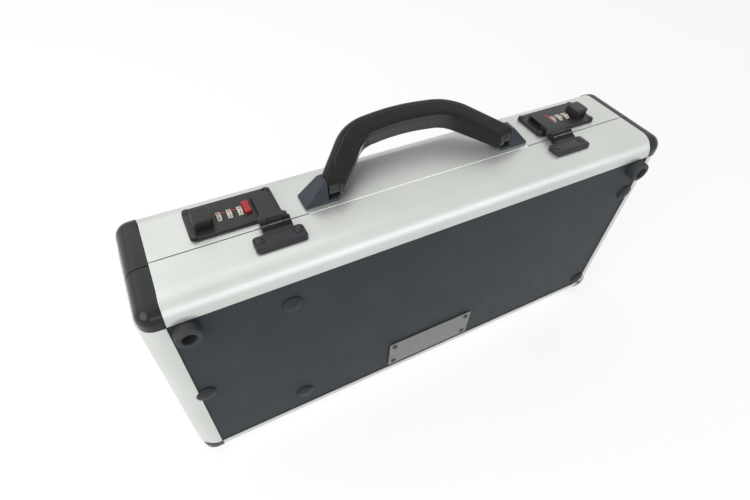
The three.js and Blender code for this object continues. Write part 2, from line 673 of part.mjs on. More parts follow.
const STEM_V = [LEVER_V + LEVER_STEM + LEVER_TRAVEL, LEVER_V + LEVER_LENGTH - LEVER_STEM];

const dialPlaces = Array.from({ length: DIAL_COUNT }, (_, i) => DIAL_U + i * DIAL_PITCH);

function grown(span, low, high = low) {
  return [span[0] - low, span[1] + high];
}

// The span of a hasp's lug, from the middle of the hasp
function lugSpan(haspU) {
  return [haspU - HASP_LUG_WIDTH / 2, haspU + HASP_LUG_WIDTH / 2];
}

function lockPlateBody(haspU) {
  const lug = lugSpan(haspU);
  let plate = unite(
    bevelledPlate([0, LOCK_LENGTH], [0, LOCK_DEPTH], [SEAT, SEAT + LOCK_FLANGE], LOCK_RADIUS, LOCK_BEVEL / 2),
    bevelledPlate([LOCK_STEP, LOCK_LENGTH - LOCK_STEP], [LOCK_STEP, LOCK_DEPTH - LOCK_STEP], [SEAT, LOCK_TOP],
      LOCK_RADIUS - LOCK_STEP, LOCK_BEVEL));
  const far = LOCK_LENGTH - BOSS_INSET;
  const deep = LOCK_DEPTH - BOSS_INSET;
  const cover = [haspU - HASP_WIDTH / 2 - RUNNING, haspU + HASP_WIDTH / 2 + RUNNING];
  const places = [[BOSS_INSET, BOSS_INSET], [BOSS_INSET, deep], [far, deep]];
  if (far - BOSS_RADIUS > cover[1]) places.push([far, BOSS_INSET]);
  for (const [u, v] of places) {
    plate = unite(plate, domeZ(BOSS_RADIUS, BOSS_HEIGHT, BOSS_HEIGHT / 3, u, v, LOCK_TOP - SEAT));
  }
  plate = cut(plate, box(cover, [-OVERRUN, LOCK_DEPTH], [LOCK_TOP, LOCK_TOP + OVERRUN]));
  const floor = [-LOCK_TUB_DEPTH, LOCK_TOP - LOCK_PLATE / 2];
  const inner = [grown(TUB_U, -LOCK_TUB_WALL), grown(TUB_V, -LOCK_TUB_WALL)];
  const tub = cut(
    box(TUB_U, TUB_V, floor),
    box(inner[0], inner[1], [-LOCK_TUB_DEPTH - OVERRUN, SEAT]));
  plate = unite(plate, tub);

  const webZ = [DIAL_DROP - 2 * AXLE_RADIUS - AXLE_WEB, LOCK_TOP - LOCK_PLATE / 2];
  for (const u of [DIAL_U - WEB_U - AXLE_WEB, LAST_DIAL_U + WEB_U]) {
    const web = [u, u + AXLE_WEB];
    plate = unite(plate, box(web, [DIAL_V - 2 * AXLE_RADIUS, DIAL_V + 2 * AXLE_RADIUS], webZ));
  }
  const axle = [DIAL_U - DIAL_PITCH, LAST_DIAL_U + DIAL_PITCH];
  plate = cut(plate, rodX(AXLE_RADIUS + BEARING, axle, DIAL_V, DIAL_DROP));
  for (const u of dialPlaces) {
    const slot = [u - DIAL_WIDTH / 2 - RUNNING, u + DIAL_WIDTH / 2 + RUNNING];
    plate = cut(plate, rodX(DIAL_RADIUS + RUNNING, slot, DIAL_V, DIAL_DROP, ROUND_STEPS));
  }

  const through = [-OVERRUN, LOCK_TOP + OVERRUN];
  const pocketTop = BOLT_TIP_RISE + RUNNING;
  const bar = [BOLT_V - RUNNING, BOLT_V + BOLT_WIDTH + RUNNING];
  plate = cut(plate,
    box(grown(NECK_U, RUNNING + THUMB_TRAVEL, RUNNING), grown(NECK_V, RUNNING), through),
    box(grown(STEM_U, RUNNING), grown(STEM_V, RUNNING + LEVER_TRAVEL, RUNNING), through),
    box(grown(lug, RUNNING), [-OVERRUN, HASP_LUG_Y + HASP_LUG_LENGTH - LOCK_FRONT_Y + 2 * RUNNING],
      [SEAT - OVERRUN, LOCK_TOP + OVERRUN]),
    box([lug[0] - BOLT_TIP_LENGTH - THUMB_TRAVEL - 2 * RUNNING, lug[0]], bar, [-OVERRUN, pocketTop]));
  return plate;
}

function dialOutline() {
  const step = (2 * Math.PI) / DIAL_NUMBERS;
  const notch = step / 10;
  const points = [];
  for (let i = 0; i < DIAL_NUMBERS; i += 1) {
    const middle = i * step;
    for (const [angle, drop] of [
      [-step / 2, DIAL_NOTCH], [-step / 2 + notch, 0], [0, 0], [step / 2 - notch, 0]]) {
      points.push([(DIAL_RADIUS - drop) * Math.cos(middle + angle), (DIAL_RADIUS - drop) * Math.sin(middle + angle)]);
    }
  }
  return polygon(points);
}

// Dials turn on their own origin.
function dialBody() {
  const width = [-DIAL_WIDTH / 2, DIAL_WIDTH / 2];
  return cut(prismX(dialOutline(), width), rodX(AXLE_RADIUS + BEARING, grown(width, OVERRUN), 0, 0));
}

function axleBody() {
  const reach = WEB_U + AXLE_WEB;
  return rodX(AXLE_RADIUS, [DIAL_U - reach, LAST_DIAL_U + reach], DIAL_V, DIAL_DROP);
}

// A comb of flat springs on the housing's front wall, one finger under each dial
function detentBody() {
  const under = DIAL_DROP - DIAL_RADIUS - RUNNING;
  const front = TUB_V[0] + LOCK_TUB_WALL + SEAT / 2;
  const finger = [under - DETENT_THICKNESS, under];
  let comb = box(
    [DIAL_U - DETENT_FINGER, LAST_DIAL_U + DETENT_FINGER], [front, front + DETENT_THICKNESS],
    [under - DETENT_THICKNESS, DIAL_DROP - DIAL_RADIUS / 2]);
  for (const u of dialPlaces) {
    comb = unite(comb, box([u - DETENT_FINGER / 2, u + DETENT_FINGER / 2], [front, front + DETENT_REACH], finger));
  }
  return comb;
}

function thumbSlideBody(haspU) {
  const reach = lugSpan(haspU)[0] - RUNNING;
  const base = LOCK_TOP + RUNNING;
  let block = bevelledPlate([THUMB_U, THUMB_U + THUMB_LENGTH], [THUMB_V, THUMB_V + THUMB_DEPTH],
    [base, base + THUMB_HEIGHT], 2 * THUMB_ROUND, THUMB_ROUND);
  block = unite(block, box(NECK_U, NECK_V, [BOLT_Z[0], base + THUMB_ROUND]));
  const tip = [reach - BOLT_TIP_LENGTH, reach];
  const barV = [BOLT_V, BOLT_V + BOLT_WIDTH];
  return unite(block,
    box(NECK_U, [NECK_V[0], BOLT_V + BOLT_WIDTH], BOLT_Z),
    box([NECK_U[0], tip[1]], barV, BOLT_Z),
    box(tip, barV, [BOLT_Z[0], BOLT_TIP_RISE]));
}

function leverBody() {
  const base = LOCK_TOP + RUNNING;
  const cap = bevelledPlate([LEVER_U, LEVER_U + LEVER_WIDTH], [LEVER_V, LEVER_V + LEVER_LENGTH],
    [base, base + LEVER_HEIGHT], 2 * LEVER_ROUND, LEVER_ROUND);
  return unite(cap, box(STEM_U, STEM_V, [-LEVER_STEM, base + LEVER_HEIGHT / 2]));
}

// Hasp and keeper are built about the barrel's axis, with the wall BARREL_RISE below it.

function haspBody() {
  const wall = -BARREL_RISE;
  const under = wall + LOCK_TOP + RUNNING;
  const top = wall + HASP_RISE;
  const rear = HASP_REAR_Y - BARREL_Y;
  const taper = HASP_TAPER_Y - BARREL_Y;
  const flare = HASP_FLARE_Y - BARREL_Y;
  const side = polygon([
    [0, -BARREL_RADIUS / 2], [BARREL_RADIUS, -BARREL_RADIUS / 2], [flare - HASP_SKIN, under], [rear, under],
    [rear, top - HASP_NOSE], [rear - HASP_NOSE, top], [taper, top],
    [BARREL_RADIUS + HASP_SKIN, BARREL_RADIUS / 4], [0, BARREL_RADIUS / 4]]);
  const cover = [-HASP_SHIFT - HASP_WIDTH / 2, -HASP_SHIFT + HASP_WIDTH / 2];
  const wide = HASP_FLARE_WIDTH / 2 - RUNNING;
  const plan = polygon([
    [-wide, BARREL_RADIUS + RUNNING], [wide, BARREL_RADIUS + RUNNING], [wide, flare - HASP_NOSE],
    [cover[1], taper], [cover[1], rear], [cover[0], rear], [cover[0], taper], [-wide, flare - HASP_NOSE]]);
  const body = prismX(side, [-wide, wide]).intersect(prismZ(plan, [wall, top + OVERRUN]));

  const middle = (BARREL_LENGTH * BARREL_MIDDLE_SHARE) / 2 - RUNNING / 2;
  const tang = box([-middle, middle], [0, BARREL_RADIUS + HASP_SKIN], [-BARREL_RADIUS / 2, BARREL_RADIUS / 2]);
  const knuckle = rodX(BARREL_RADIUS, [-middle, middle], 0, 0, SMALL_STEPS + 4);
  const hollow = box(grown(cover, -HASP_SKIN), [taper, rear - HASP_SKIN], [wall, top - HASP_SKIN]);
  const windowEnd = rear - 2 * HASP_SKIN;
  const window = box(grown(cover, OVERRUN), [windowEnd - HASP_WINDOW, windowEnd], [wall, top - HASP_SKIN]);
  const lugRear = HASP_LUG_Y + HASP_LUG_LENGTH - BARREL_Y;
  const lug = box([-HASP_SHIFT - HASP_LUG_WIDTH / 2, -HASP_SHIFT + HASP_LUG_WIDTH / 2], [lugRear - HASP_LUG_LENGTH, lugRear],
    [wall + SEAT + RUNNING, top - HASP_SKIN / 2]);
  const whole = unite(cut(body, hollow, window), tang, knuckle, lug);
  return cut(whole, rodX(BARREL_PIN_RADIUS + BEARING, [-wide, wide], 0, 0));
}

function keeperBody() {
  const wall = -BARREL_RISE + SEAT;
  const rear = KEEPER_REAR_Y - BARREL_Y;
  const half = KEEPER_LENGTH / 2;
  const top = wall + KEEPER_PLATE;
  const x = [-KEEPER_SHIFT - half, -KEEPER_SHIFT + half];
  const front = rear - KEEPER_DEPTH;
  const slope = polygon([
    [front - KEEPER_SLOPE, wall], [front, wall + KEEPER_TOE], [front + KEEPER_SLOPE, top],
    [front + KEEPER_SLOPE, top + OVERRUN], [front - KEEPER_SLOPE, top + OVERRUN]]);
  let base = cut(bevelledPlate(x, [front, rear], [wall, top], KEEPER_RADIUS, KEEPER_BEVEL),
    prismX(slope, grown(x, OVERRUN)));
  for (const boss of grown(x, -KEEPER_BOSS_INSET)) {
    base = unite(base, domeZ(KEEPER_BOSS_RADIUS, KEEPER_BOSS_HEIGHT, KEEPER_BOSS_HEIGHT / 3,
      boss, rear - (KEEPER_DEPTH - KEEPER_SLOPE) / 2, top - SEAT));
  }
  const end = BARREL_LENGTH / 2;
  const ramp = polygon([
    [rear - KEEPER_RAMP, wall], [rear + KEEPER_RAMP, wall], [-BARREL_RADIUS / 2, -BARREL_RADIUS + KEEPER_RAMP / 8],
    [-BARREL_RADIUS / 2, KEEPER_RAMP / 2], [-BARREL_RADIUS, KEEPER_RAMP / 2], [rear - KEEPER_RAMP, top + KEEPER_RAMP / 8]]);
  const middle = (BARREL_LENGTH * BARREL_MIDDLE_SHARE) / 2 + RUNNING / 2;
  const roll = -BARREL_RADIUS - RUNNING - KEEPER_ROLL / 2;
  const body = unite(base, prismX(ramp, [-end, end]), rodX(KEEPER_ROLL, [-end, end], roll, top - KEEPER_ROLL / 2),
    rodX(BARREL_RADIUS, [-end, -middle], 0, 0, SMALL_STEPS + 4), rodX(BARREL_RADIUS, [middle, end], 0, 0, SMALL_STEPS + 4));
  return cut(body,
    rodX(BARREL_RADIUS + RUNNING, [-middle, middle], 0, 0, SMALL_STEPS + 4),
    rodX(BARREL_PIN_RADIUS + BEARING, [-end - OVERRUN, end + OVERRUN], 0, 0));
}

function haspPinBody() {
  return rodX(BARREL_PIN_RADIUS, [-BARREL_LENGTH / 2, BARREL_LENGTH / 2], 0, 0);
}

// The lock plates mirror each other; both hasps and keepers have the same hand.
function addLock(side, sign, rearHalf, lid) {
  const barrelU = sign > 0 ? RIGHT_BARREL_U : LEFT_BARREL_U;
  const haspU = barrelU + sign * HASP_SHIFT;
  const hand = (body) => (sign > 0 ? mirroredX(body) : body);
  const group = new THREE.Group();
  group.position.set(sign * LOCK_OUTER_X, LOCK_FRONT_Y, CASE_HEIGHT);
  rearHalf.add(group);
  named(`lock_${side}_plate`, hand(lockPlateBody(haspU)), materials.lock, group);
  named(`lock_${side}_thumb_slide`, hand(thumbSlideBody(haspU)), materials.lock, group);
  named(`lock_${side}_change_lever`, hand(leverBody()), materials.lever, group);
  named(`lock_${side}_dial_axle`, hand(axleBody()), materials.steel, group);
  named(`lock_${side}_detent_spring`, hand(detentBody()), materials.steel, group);
  dialPlaces.forEach((u, i) => {
    const dial = named(`lock_${side}_dial_${i + 1}`, dialBody(), materials.dial, group);
    dial.position.set(-sign * u, DIAL_V, DIAL_DROP);
  });
  const catches = new THREE.Group();
  catches.position.set(sign * (LOCK_OUTER_X - barrelU), BARREL_Y, CASE_HEIGHT + BARREL_RISE);
  lid.add(catches);
  named(`hasp_${side}`, haspBody(), materials.lock, catches);
  named(`keeper_${side}`, keeperBody(), materials.lock, catches);
  named(`hasp_pin_${side}`, haspPinBody(), materials.steel, catches);
}

// Handle

function bracketBody() {
  const side = polygon([
    [BRACKET_OUTER_X, 0], [BRACKET_OUTER_X, BRACKET_TOE],
    [BRACKET_RIDGE_X + BRACKET_ROUND, BRACKET_HEIGHT - BRACKET_ROUND / 2], [BRACKET_RIDGE_X, BRACKET_HEIGHT],
    [BRACKET_RIDGE_X - BRACKET_CHEEK, BRACKET_HEIGHT], [BRACKET_RIDGE_X - BRACKET_CHEEK, BRACKET_SOLE],
    [BRACKET_INNER_X, BRACKET_SOLE], [BRACKET_INNER_X, 0]].map(([x, z]) => [x, z + SEAT]));
  const base = BRACKET_WIDTH / 2;
  const ridge = BRACKET_RIDGE_WIDTH / 2;
  const front = polygon([
    [-base, 0], [base, 0], [base, BRACKET_SOLE], [ridge, BRACKET_HEIGHT - BRACKET_ROUND],
    [ridge - BRACKET_ROUND, BRACKET_HEIGHT + SEAT], [-ridge + BRACKET_ROUND, BRACKET_HEIGHT + SEAT],
    [-ridge, BRACKET_HEIGHT - BRACKET_ROUND], [-base, BRACKET_SOLE]]);
  const wedge = prismY(side, [-base, base]).intersect(
    prismX(front, [BRACKET_INNER_X - OVERRUN, BRACKET_OUTER_X + OVERRUN]));
  return unite(wedge, rodX(
    PIVOT_RADIUS, [BRACKET_FACE - PIVOT_LENGTH, BRACKET_FACE + BRACKET_CHEEK / 2], 0, PIVOT_RISE, ROUND_STEPS));
}

// The grip's middle line from one pivot to the crown, in X and the height above the pivots
function gripPath() {
  const lean = THREE.MathUtils.degToRad(GRIP_LEG_LEAN);
  const shoulder = new THREE.Vector2(
    PIVOT_HALF_SPAN - (GRIP_HEIGHT - GRIP_CROWN) * Math.tan(lean), GRIP_HEIGHT - GRIP_CROWN);
  const foot = new THREE.Vector2(PIVOT_HALF_SPAN, 0);
  const crown = new THREE.Vector2(0, GRIP_HEIGHT + GRIP_CROWN);
  const down = foot.clone().sub(shoulder).normalize().multiplyScalar(GRIP_BEND);
  const along = crown.clone().sub(shoulder).setY(2 * GRIP_CROWN).normalize().multiplyScalar(GRIP_BEND);
  const path = new THREE.CurvePath();
  path.add(new THREE.LineCurve(foot, shoulder.clone().add(down)));
  path.add(new THREE.QuadraticBezierCurve(shoulder.clone().add(down), shoulder, shoulder.clone().add(along)));
  const start = shoulder.clone().add(along);
  path.add(new THREE.QuadraticBezierCurve(start, new THREE.Vector2(start.x / 2, crown.y), crown));
  return path;
}

// A rounded section with flat cheeks, and a shallow groove along both cheeks beside the outer round
function gripSection(width, thickness) {
  const steps = FILLET_STEPS;
  const corner = Math.min(width, thickness) * GRIP_ROUND_SHARE;
  const x = width / 2;
  const y = thickness / 2;
  const points = [];
  const quadrants = [[1, 1, 0], [-1, 1, 1], [-1, -1, 2], [1, -1, 3]];
  for (const [sx, sy, quarter] of quadrants) {
    for (let i = 0; i <= steps; i += 1) {
      const angle = (quarter + i / steps) * (Math.PI / 2);
      points.push([sx * (x - corner) + corner * Math.cos(angle), sy * (y - corner) + corner * Math.sin(angle)]);
    }
  }
  const ledge = x - corner - 2 * GRIP_GROOVE;
  const groove = (sign) => [[ledge + GRIP_GROOVE, sign * y], [ledge, sign * (y - GRIP_GROOVE)],
    [ledge - GRIP_GROOVE, sign * y]];
  points.splice(steps + 1, 0, ...groove(1));
  points.push(...groove(-1).reverse());
  return points;
}

function gripBody() {
  const path = gripPath();
  const bendStart = path.curves[0].getLength() / path.getLength();
  const half = [-GRIP_FOOT / path.getLength(), 0, bendStart / 3, (2 * bendStart) / 3];
  for (let i = 0; i <= GRIP_STEPS; i += 1) half.push(bendStart + ((1 - bendStart) * i) / GRIP_STEPS);
  const rings = [];
  const ring = (t, sign) => {
    const tangent = path.getTangentAt(Math.max(t, 0));
    const point = path.getPointAt(Math.max(t, 0)).addScaledVector(tangent, Math.min(t, 0) * path.getLength());
    const swell = Math.max(0, Math.min(1, t / GRIP_SWELL_SHARE));
    const width = GRIP_END_WIDTH + (GRIP_WIDTH - GRIP_END_WIDTH) * swell;
    const thickness = GRIP_END_THICKNESS + (GRIP_THICKNESS - GRIP_END_THICKNESS) * swell;
    const out = new THREE.Vector2(-tangent.y, tangent.x).multiplyScalar(-1);
    return gripSection(width, thickness).map(([a, b]) => [sign * (point.x + out.x * a), b, point.y + out.y * a]);
  };
  half.forEach((t) => rings.push(ring(t, 1)));
  half.slice(0, -1).reverse().forEach((t) => rings.push(ring(t, -1)));
  let body = loft(rings);
  if (body.volume() < 0) body = loft(rings.map((r) => r.slice().reverse()));

  const face = BRACKET_FACE - GRIP_SIDE_GAP;
  const inner = face - GRIP_EYE_LENGTH;
  const free = BRACKET_INNER_X - RUNNING;
  const below = cut(
    box([-BRACKET_OUTER_X, BRACKET_OUTER_X], [-GRIP_THICKNESS, GRIP_THICKNESS], [-GRIP_HEIGHT, 0]),
    rodX(GRIP_EYE_RADIUS, [-BRACKET_OUTER_X - OVERRUN, BRACKET_OUTER_X + OVERRUN], 0, 0, ROUND_STEPS),
    rodX(GRIP_FOOT_RADIUS, [-free, free], 0, 0, ROUND_STEPS));
  body = cut(body, below);
  for (const sign of [-1, 1]) {
    const x = [sign * face, sign * inner].sort((a, b) => a - b);
    body = unite(body, rodX(GRIP_EYE_RADIUS, x, 0, 0, ROUND_STEPS));
  }
  body = body.intersect(box([-face, face], [-GRIP_THICKNESS, GRIP_THICKNESS], [-GRIP_HEIGHT, 2 * GRIP_HEIGHT]));
  const bore = PIVOT_LENGTH + RUNNING;
  for (const sign of [-1, 1]) {
    const x = [sign * (face + OVERRUN), sign * (face + GRIP_SIDE_GAP - bore)].sort((a, b) => a - b);
    body = cut(body, rodX(PIVOT_RADIUS + BEARING, x, 0, 0, ROUND_STEPS));
  }
  return body;
}

// A closed skin over rings of equal point counts, with fans on the first and last ring
function loft(rings) {
  const size = rings[0].length;
  const positions = rings.flat(2);
  const index = [];
  for (let r = 0; r + 1 < rings.length; r += 1) {
    for (let i = 0; i < size; i += 1) {
      const [a, b] = [r * size + i, r * size + ((i + 1) % size)];
      index.push(a, b, b + size, a, b + size, a + size);
    }
  }
  for (const [start, flip] of [[0, true], [(rings.length - 1) * size, false]]) {
    const centre = positions.length / 3;
    const ring = rings[start / size];
    for (let k = 0; k < 3; k += 1) positions.push(ring.reduce((sum, p) => sum + p[k], 0) / size);
    for (let i = 0; i < size; i += 1) {
      const [a, b] = [start + i, start + ((i + 1) % size)];
      index.push(...(flip ? [b, a, centre] : [a, b, centre]));
    }
  }
  const geometry = new THREE.BufferGeometry();
  geometry.setAttribute('position', new THREE.Float32BufferAttribute(positions, 3));
  geometry.setIndex(index);
  return solid(geometry);
}

function addHandle(rearHalf) {
  const mount = new THREE.Group();
  mount.position.set(0, HANDLE_Y, CASE_HEIGHT);
  rearHalf.add(mount);
  named('handle_bracket_left', mirroredX(bracketBody()), materials.bracket, mount);
  named('handle_bracket_right', bracketBody(), materials.bracket, mount);
  const grip = named('handle_grip', gripBody(), materials.grip, mount);
  grip.position.z = PIVOT_RISE;
  grip.rotation.x = -STOP;
}

// Assembly

// Cut-outs of the rear top wall for the lock housings, in that half's own turned frame
function housingCuts() {
  const v = grown(TUB_V, SEAT);
  const y = [-(LOCK_FRONT_Y + v[1] - PARTING_GAP / 2), -(LOCK_FRONT_Y + v[0] - PARTING_GAP / 2)];
  return [-1, 1].map((sign) => {
    const u = grown(TUB_U, SEAT);
    const x = [sign * (LOCK_OUTER_X - u[0]), sign * (LOCK_OUTER_X - u[1])].sort((a, b) => a - b);
    return box(x, y, [-LOCK_TUB_DEPTH - OVERRUN, OVERRUN]);
  });
}

const frontHalf = new THREE.Group();
const rearHalf = new THREE.Group();

const lidShell = makeHalf('lid', LID_DEPTH, false, [], FRONT_NAMES);
lidShell.position.set(0, -PARTING_GAP / 2, CASE_HEIGHT / 2);
named('lid_foam', lidFoamBody(), materials.foam, lidShell);
frontHalf.add(lidShell);

const fittings = new THREE.Group();
fittings.position.z = CASE_HEIGHT / 2;
addPanelFittings(fittings);
frontHalf.add(fittings);

const baseShell = makeHalf('base', BASE_DEPTH, true, housingCuts(), REAR_NAMES);
baseShell.rotation.z = Math.PI;
baseShell.position.set(0, PARTING_GAP / 2, CASE_HEIGHT / 2);
named('base_foam', rearFoamBody(), materials.foam, baseShell);
rearHalf.add(baseShell);

for (const [side, sign] of [['left', -1], ['right', 1]]) {
  addLock(side, sign, rearHalf, frontHalf);
  for (const [half, hand, parity, name] of [
    [frontHalf, -1, 1, 'lid_leaf'], [rearHalf, 1, 0, 'base_leaf']]) {
    const leaf = named(`hinge_${side}_${name}`, hingeLeafBody(hand, parity), materials.lock, half);
    leaf.position.set(sign * HINGE_X, 0, -HINGE_AXIS_DROP);
  }
  const pin = named(`hinge_${side}_pin`, hingePinBody(), materials.steel, rearHalf);
  pin.position.set(sign * HINGE_X, 0, -HINGE_AXIS_DROP);
}
addHandle(rearHalf);

// The origin is under the middle of the whole part, on the surface that it stands on.
const knifeCase = new THREE.Group();
knifeCase.add(frontHalf, rearHalf);
knifeCase.updateMatrixWorld(true);
const bounds = new THREE.Box3().setFromObject(knifeCase, true);
const centre = bounds.getCenter(new THREE.Vector3());
knifeCase.position.set(-centre.x, -centre.y, -bounds.min.z);

export default knifeCase;
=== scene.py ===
# The looks of a hard chef knife case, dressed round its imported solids.
# Lengths are millimetres in the part's frame, and MM brings them to metres where meshes are made.
# The floor and the lamps are written in metres.
import json
import math

import bmesh
import bpy
from mathutils import Matrix, Vector

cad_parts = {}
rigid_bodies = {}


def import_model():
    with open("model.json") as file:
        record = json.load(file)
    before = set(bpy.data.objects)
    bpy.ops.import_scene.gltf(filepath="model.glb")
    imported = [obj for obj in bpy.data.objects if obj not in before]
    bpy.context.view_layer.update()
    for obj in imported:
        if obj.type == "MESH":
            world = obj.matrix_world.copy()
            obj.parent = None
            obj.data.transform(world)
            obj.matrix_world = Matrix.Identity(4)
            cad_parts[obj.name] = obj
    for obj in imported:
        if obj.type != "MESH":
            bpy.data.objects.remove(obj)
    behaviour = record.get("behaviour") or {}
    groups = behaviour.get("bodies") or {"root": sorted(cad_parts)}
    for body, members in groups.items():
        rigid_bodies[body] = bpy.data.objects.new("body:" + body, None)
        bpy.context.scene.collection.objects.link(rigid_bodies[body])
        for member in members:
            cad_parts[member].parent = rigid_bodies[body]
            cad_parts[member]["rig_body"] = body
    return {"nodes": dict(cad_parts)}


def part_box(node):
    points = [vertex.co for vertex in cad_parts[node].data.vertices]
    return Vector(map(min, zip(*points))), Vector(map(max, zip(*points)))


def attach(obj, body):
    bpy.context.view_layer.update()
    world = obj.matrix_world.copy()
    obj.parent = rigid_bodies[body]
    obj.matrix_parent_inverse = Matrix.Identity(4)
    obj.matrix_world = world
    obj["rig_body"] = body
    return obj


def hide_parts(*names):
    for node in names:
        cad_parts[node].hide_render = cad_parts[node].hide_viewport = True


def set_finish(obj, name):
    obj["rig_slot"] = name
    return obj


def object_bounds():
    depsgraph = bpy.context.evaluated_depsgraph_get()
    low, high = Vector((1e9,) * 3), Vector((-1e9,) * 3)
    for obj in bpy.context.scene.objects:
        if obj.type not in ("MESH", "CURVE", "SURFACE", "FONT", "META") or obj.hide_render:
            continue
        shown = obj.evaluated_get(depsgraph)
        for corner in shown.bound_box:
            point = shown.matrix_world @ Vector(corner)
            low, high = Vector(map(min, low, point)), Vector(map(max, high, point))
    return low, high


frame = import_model()
cad_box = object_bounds()

MM = 0.001
SIDES = ("left", "right")

# Turns that bring local Z to where their names say
UPWARDS = Matrix.Identity(4)
FRONTWARDS = Matrix.Rotation(math.radians(90), 4, "X")
RIGHTWARDS = Matrix.Rotation(math.radians(90), 4, "Y")


def box_mm(node):
    """A solid's lowest and highest corner."""
    low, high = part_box(node)
    return low / MM, high / MM


# Places read from the frame
PARTING_Y = (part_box("lid_corner_top_left")[1].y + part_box("base_corner_top_left")[0].y) / 2 / MM
TOP_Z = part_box("lid_frame_top")[1].z / MM
pin_low, pin_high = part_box("hasp_pin_left")
BARREL_Y = (pin_low.y + pin_high.y) / 2 / MM
BARREL_Z = (pin_low.z + pin_high.z) / 2 / MM


# Nodes

def math_node(tree, operation, first, second):
    """The result of two values, each of them a number or another node's output."""
    node = tree.nodes.new("ShaderNodeMath")
    node.operation = operation
    for socket, value in zip(node.inputs, (first, second)):
        if isinstance(value, (int, float)):
            socket.default_value = value
        else:
            tree.links.new(value, socket)
    return node.outputs["Value"]


def map_range(tree, value, source, target):
    """The value moved from the source range to the target range, and held inside it."""
    node = tree.nodes.new("ShaderNodeMapRange")
    for socket, limit in zip(("From Min", "From Max", "To Min", "To Max"), source + target):
        node.inputs[socket].default_value = limit
    tree.links.new(value, node.inputs["Value"])
    return node.outputs["Result"]


def background_rays(tree):
    """1 for the rays that show the background: those of the camera, of gloss and of glass."""
    path = tree.nodes.new("ShaderNodeLightPath")
    seen = math_node(tree, "MAXIMUM", path.outputs["Is Camera Ray"], path.outputs["Is Glossy Ray"])
    return math_node(tree, "MAXIMUM", seen, path.outputs["Is Transmission Ray"])


# Materials

# A wave texture of scale 1 repeats after this length
WAVE_LENGTH = 2 * math.pi / 20
# Half the width of the soft edge round what near_barrel picks out
BARREL_SOFTNESS = 0.6


def srgb(red, green, blue):
    """The linear colour of three values from 0 to 255."""
    def linear(value):
        share = value / 255
        return share / 12.92 if share <= 0.04045 else ((share + 0.055) / 1.055) ** 2.4
    return (linear(red), linear(green), linear(blue), 1.0)


def shade(colour, share):
    return tuple(channel * share for channel in colour[:3]) + (1.0,)


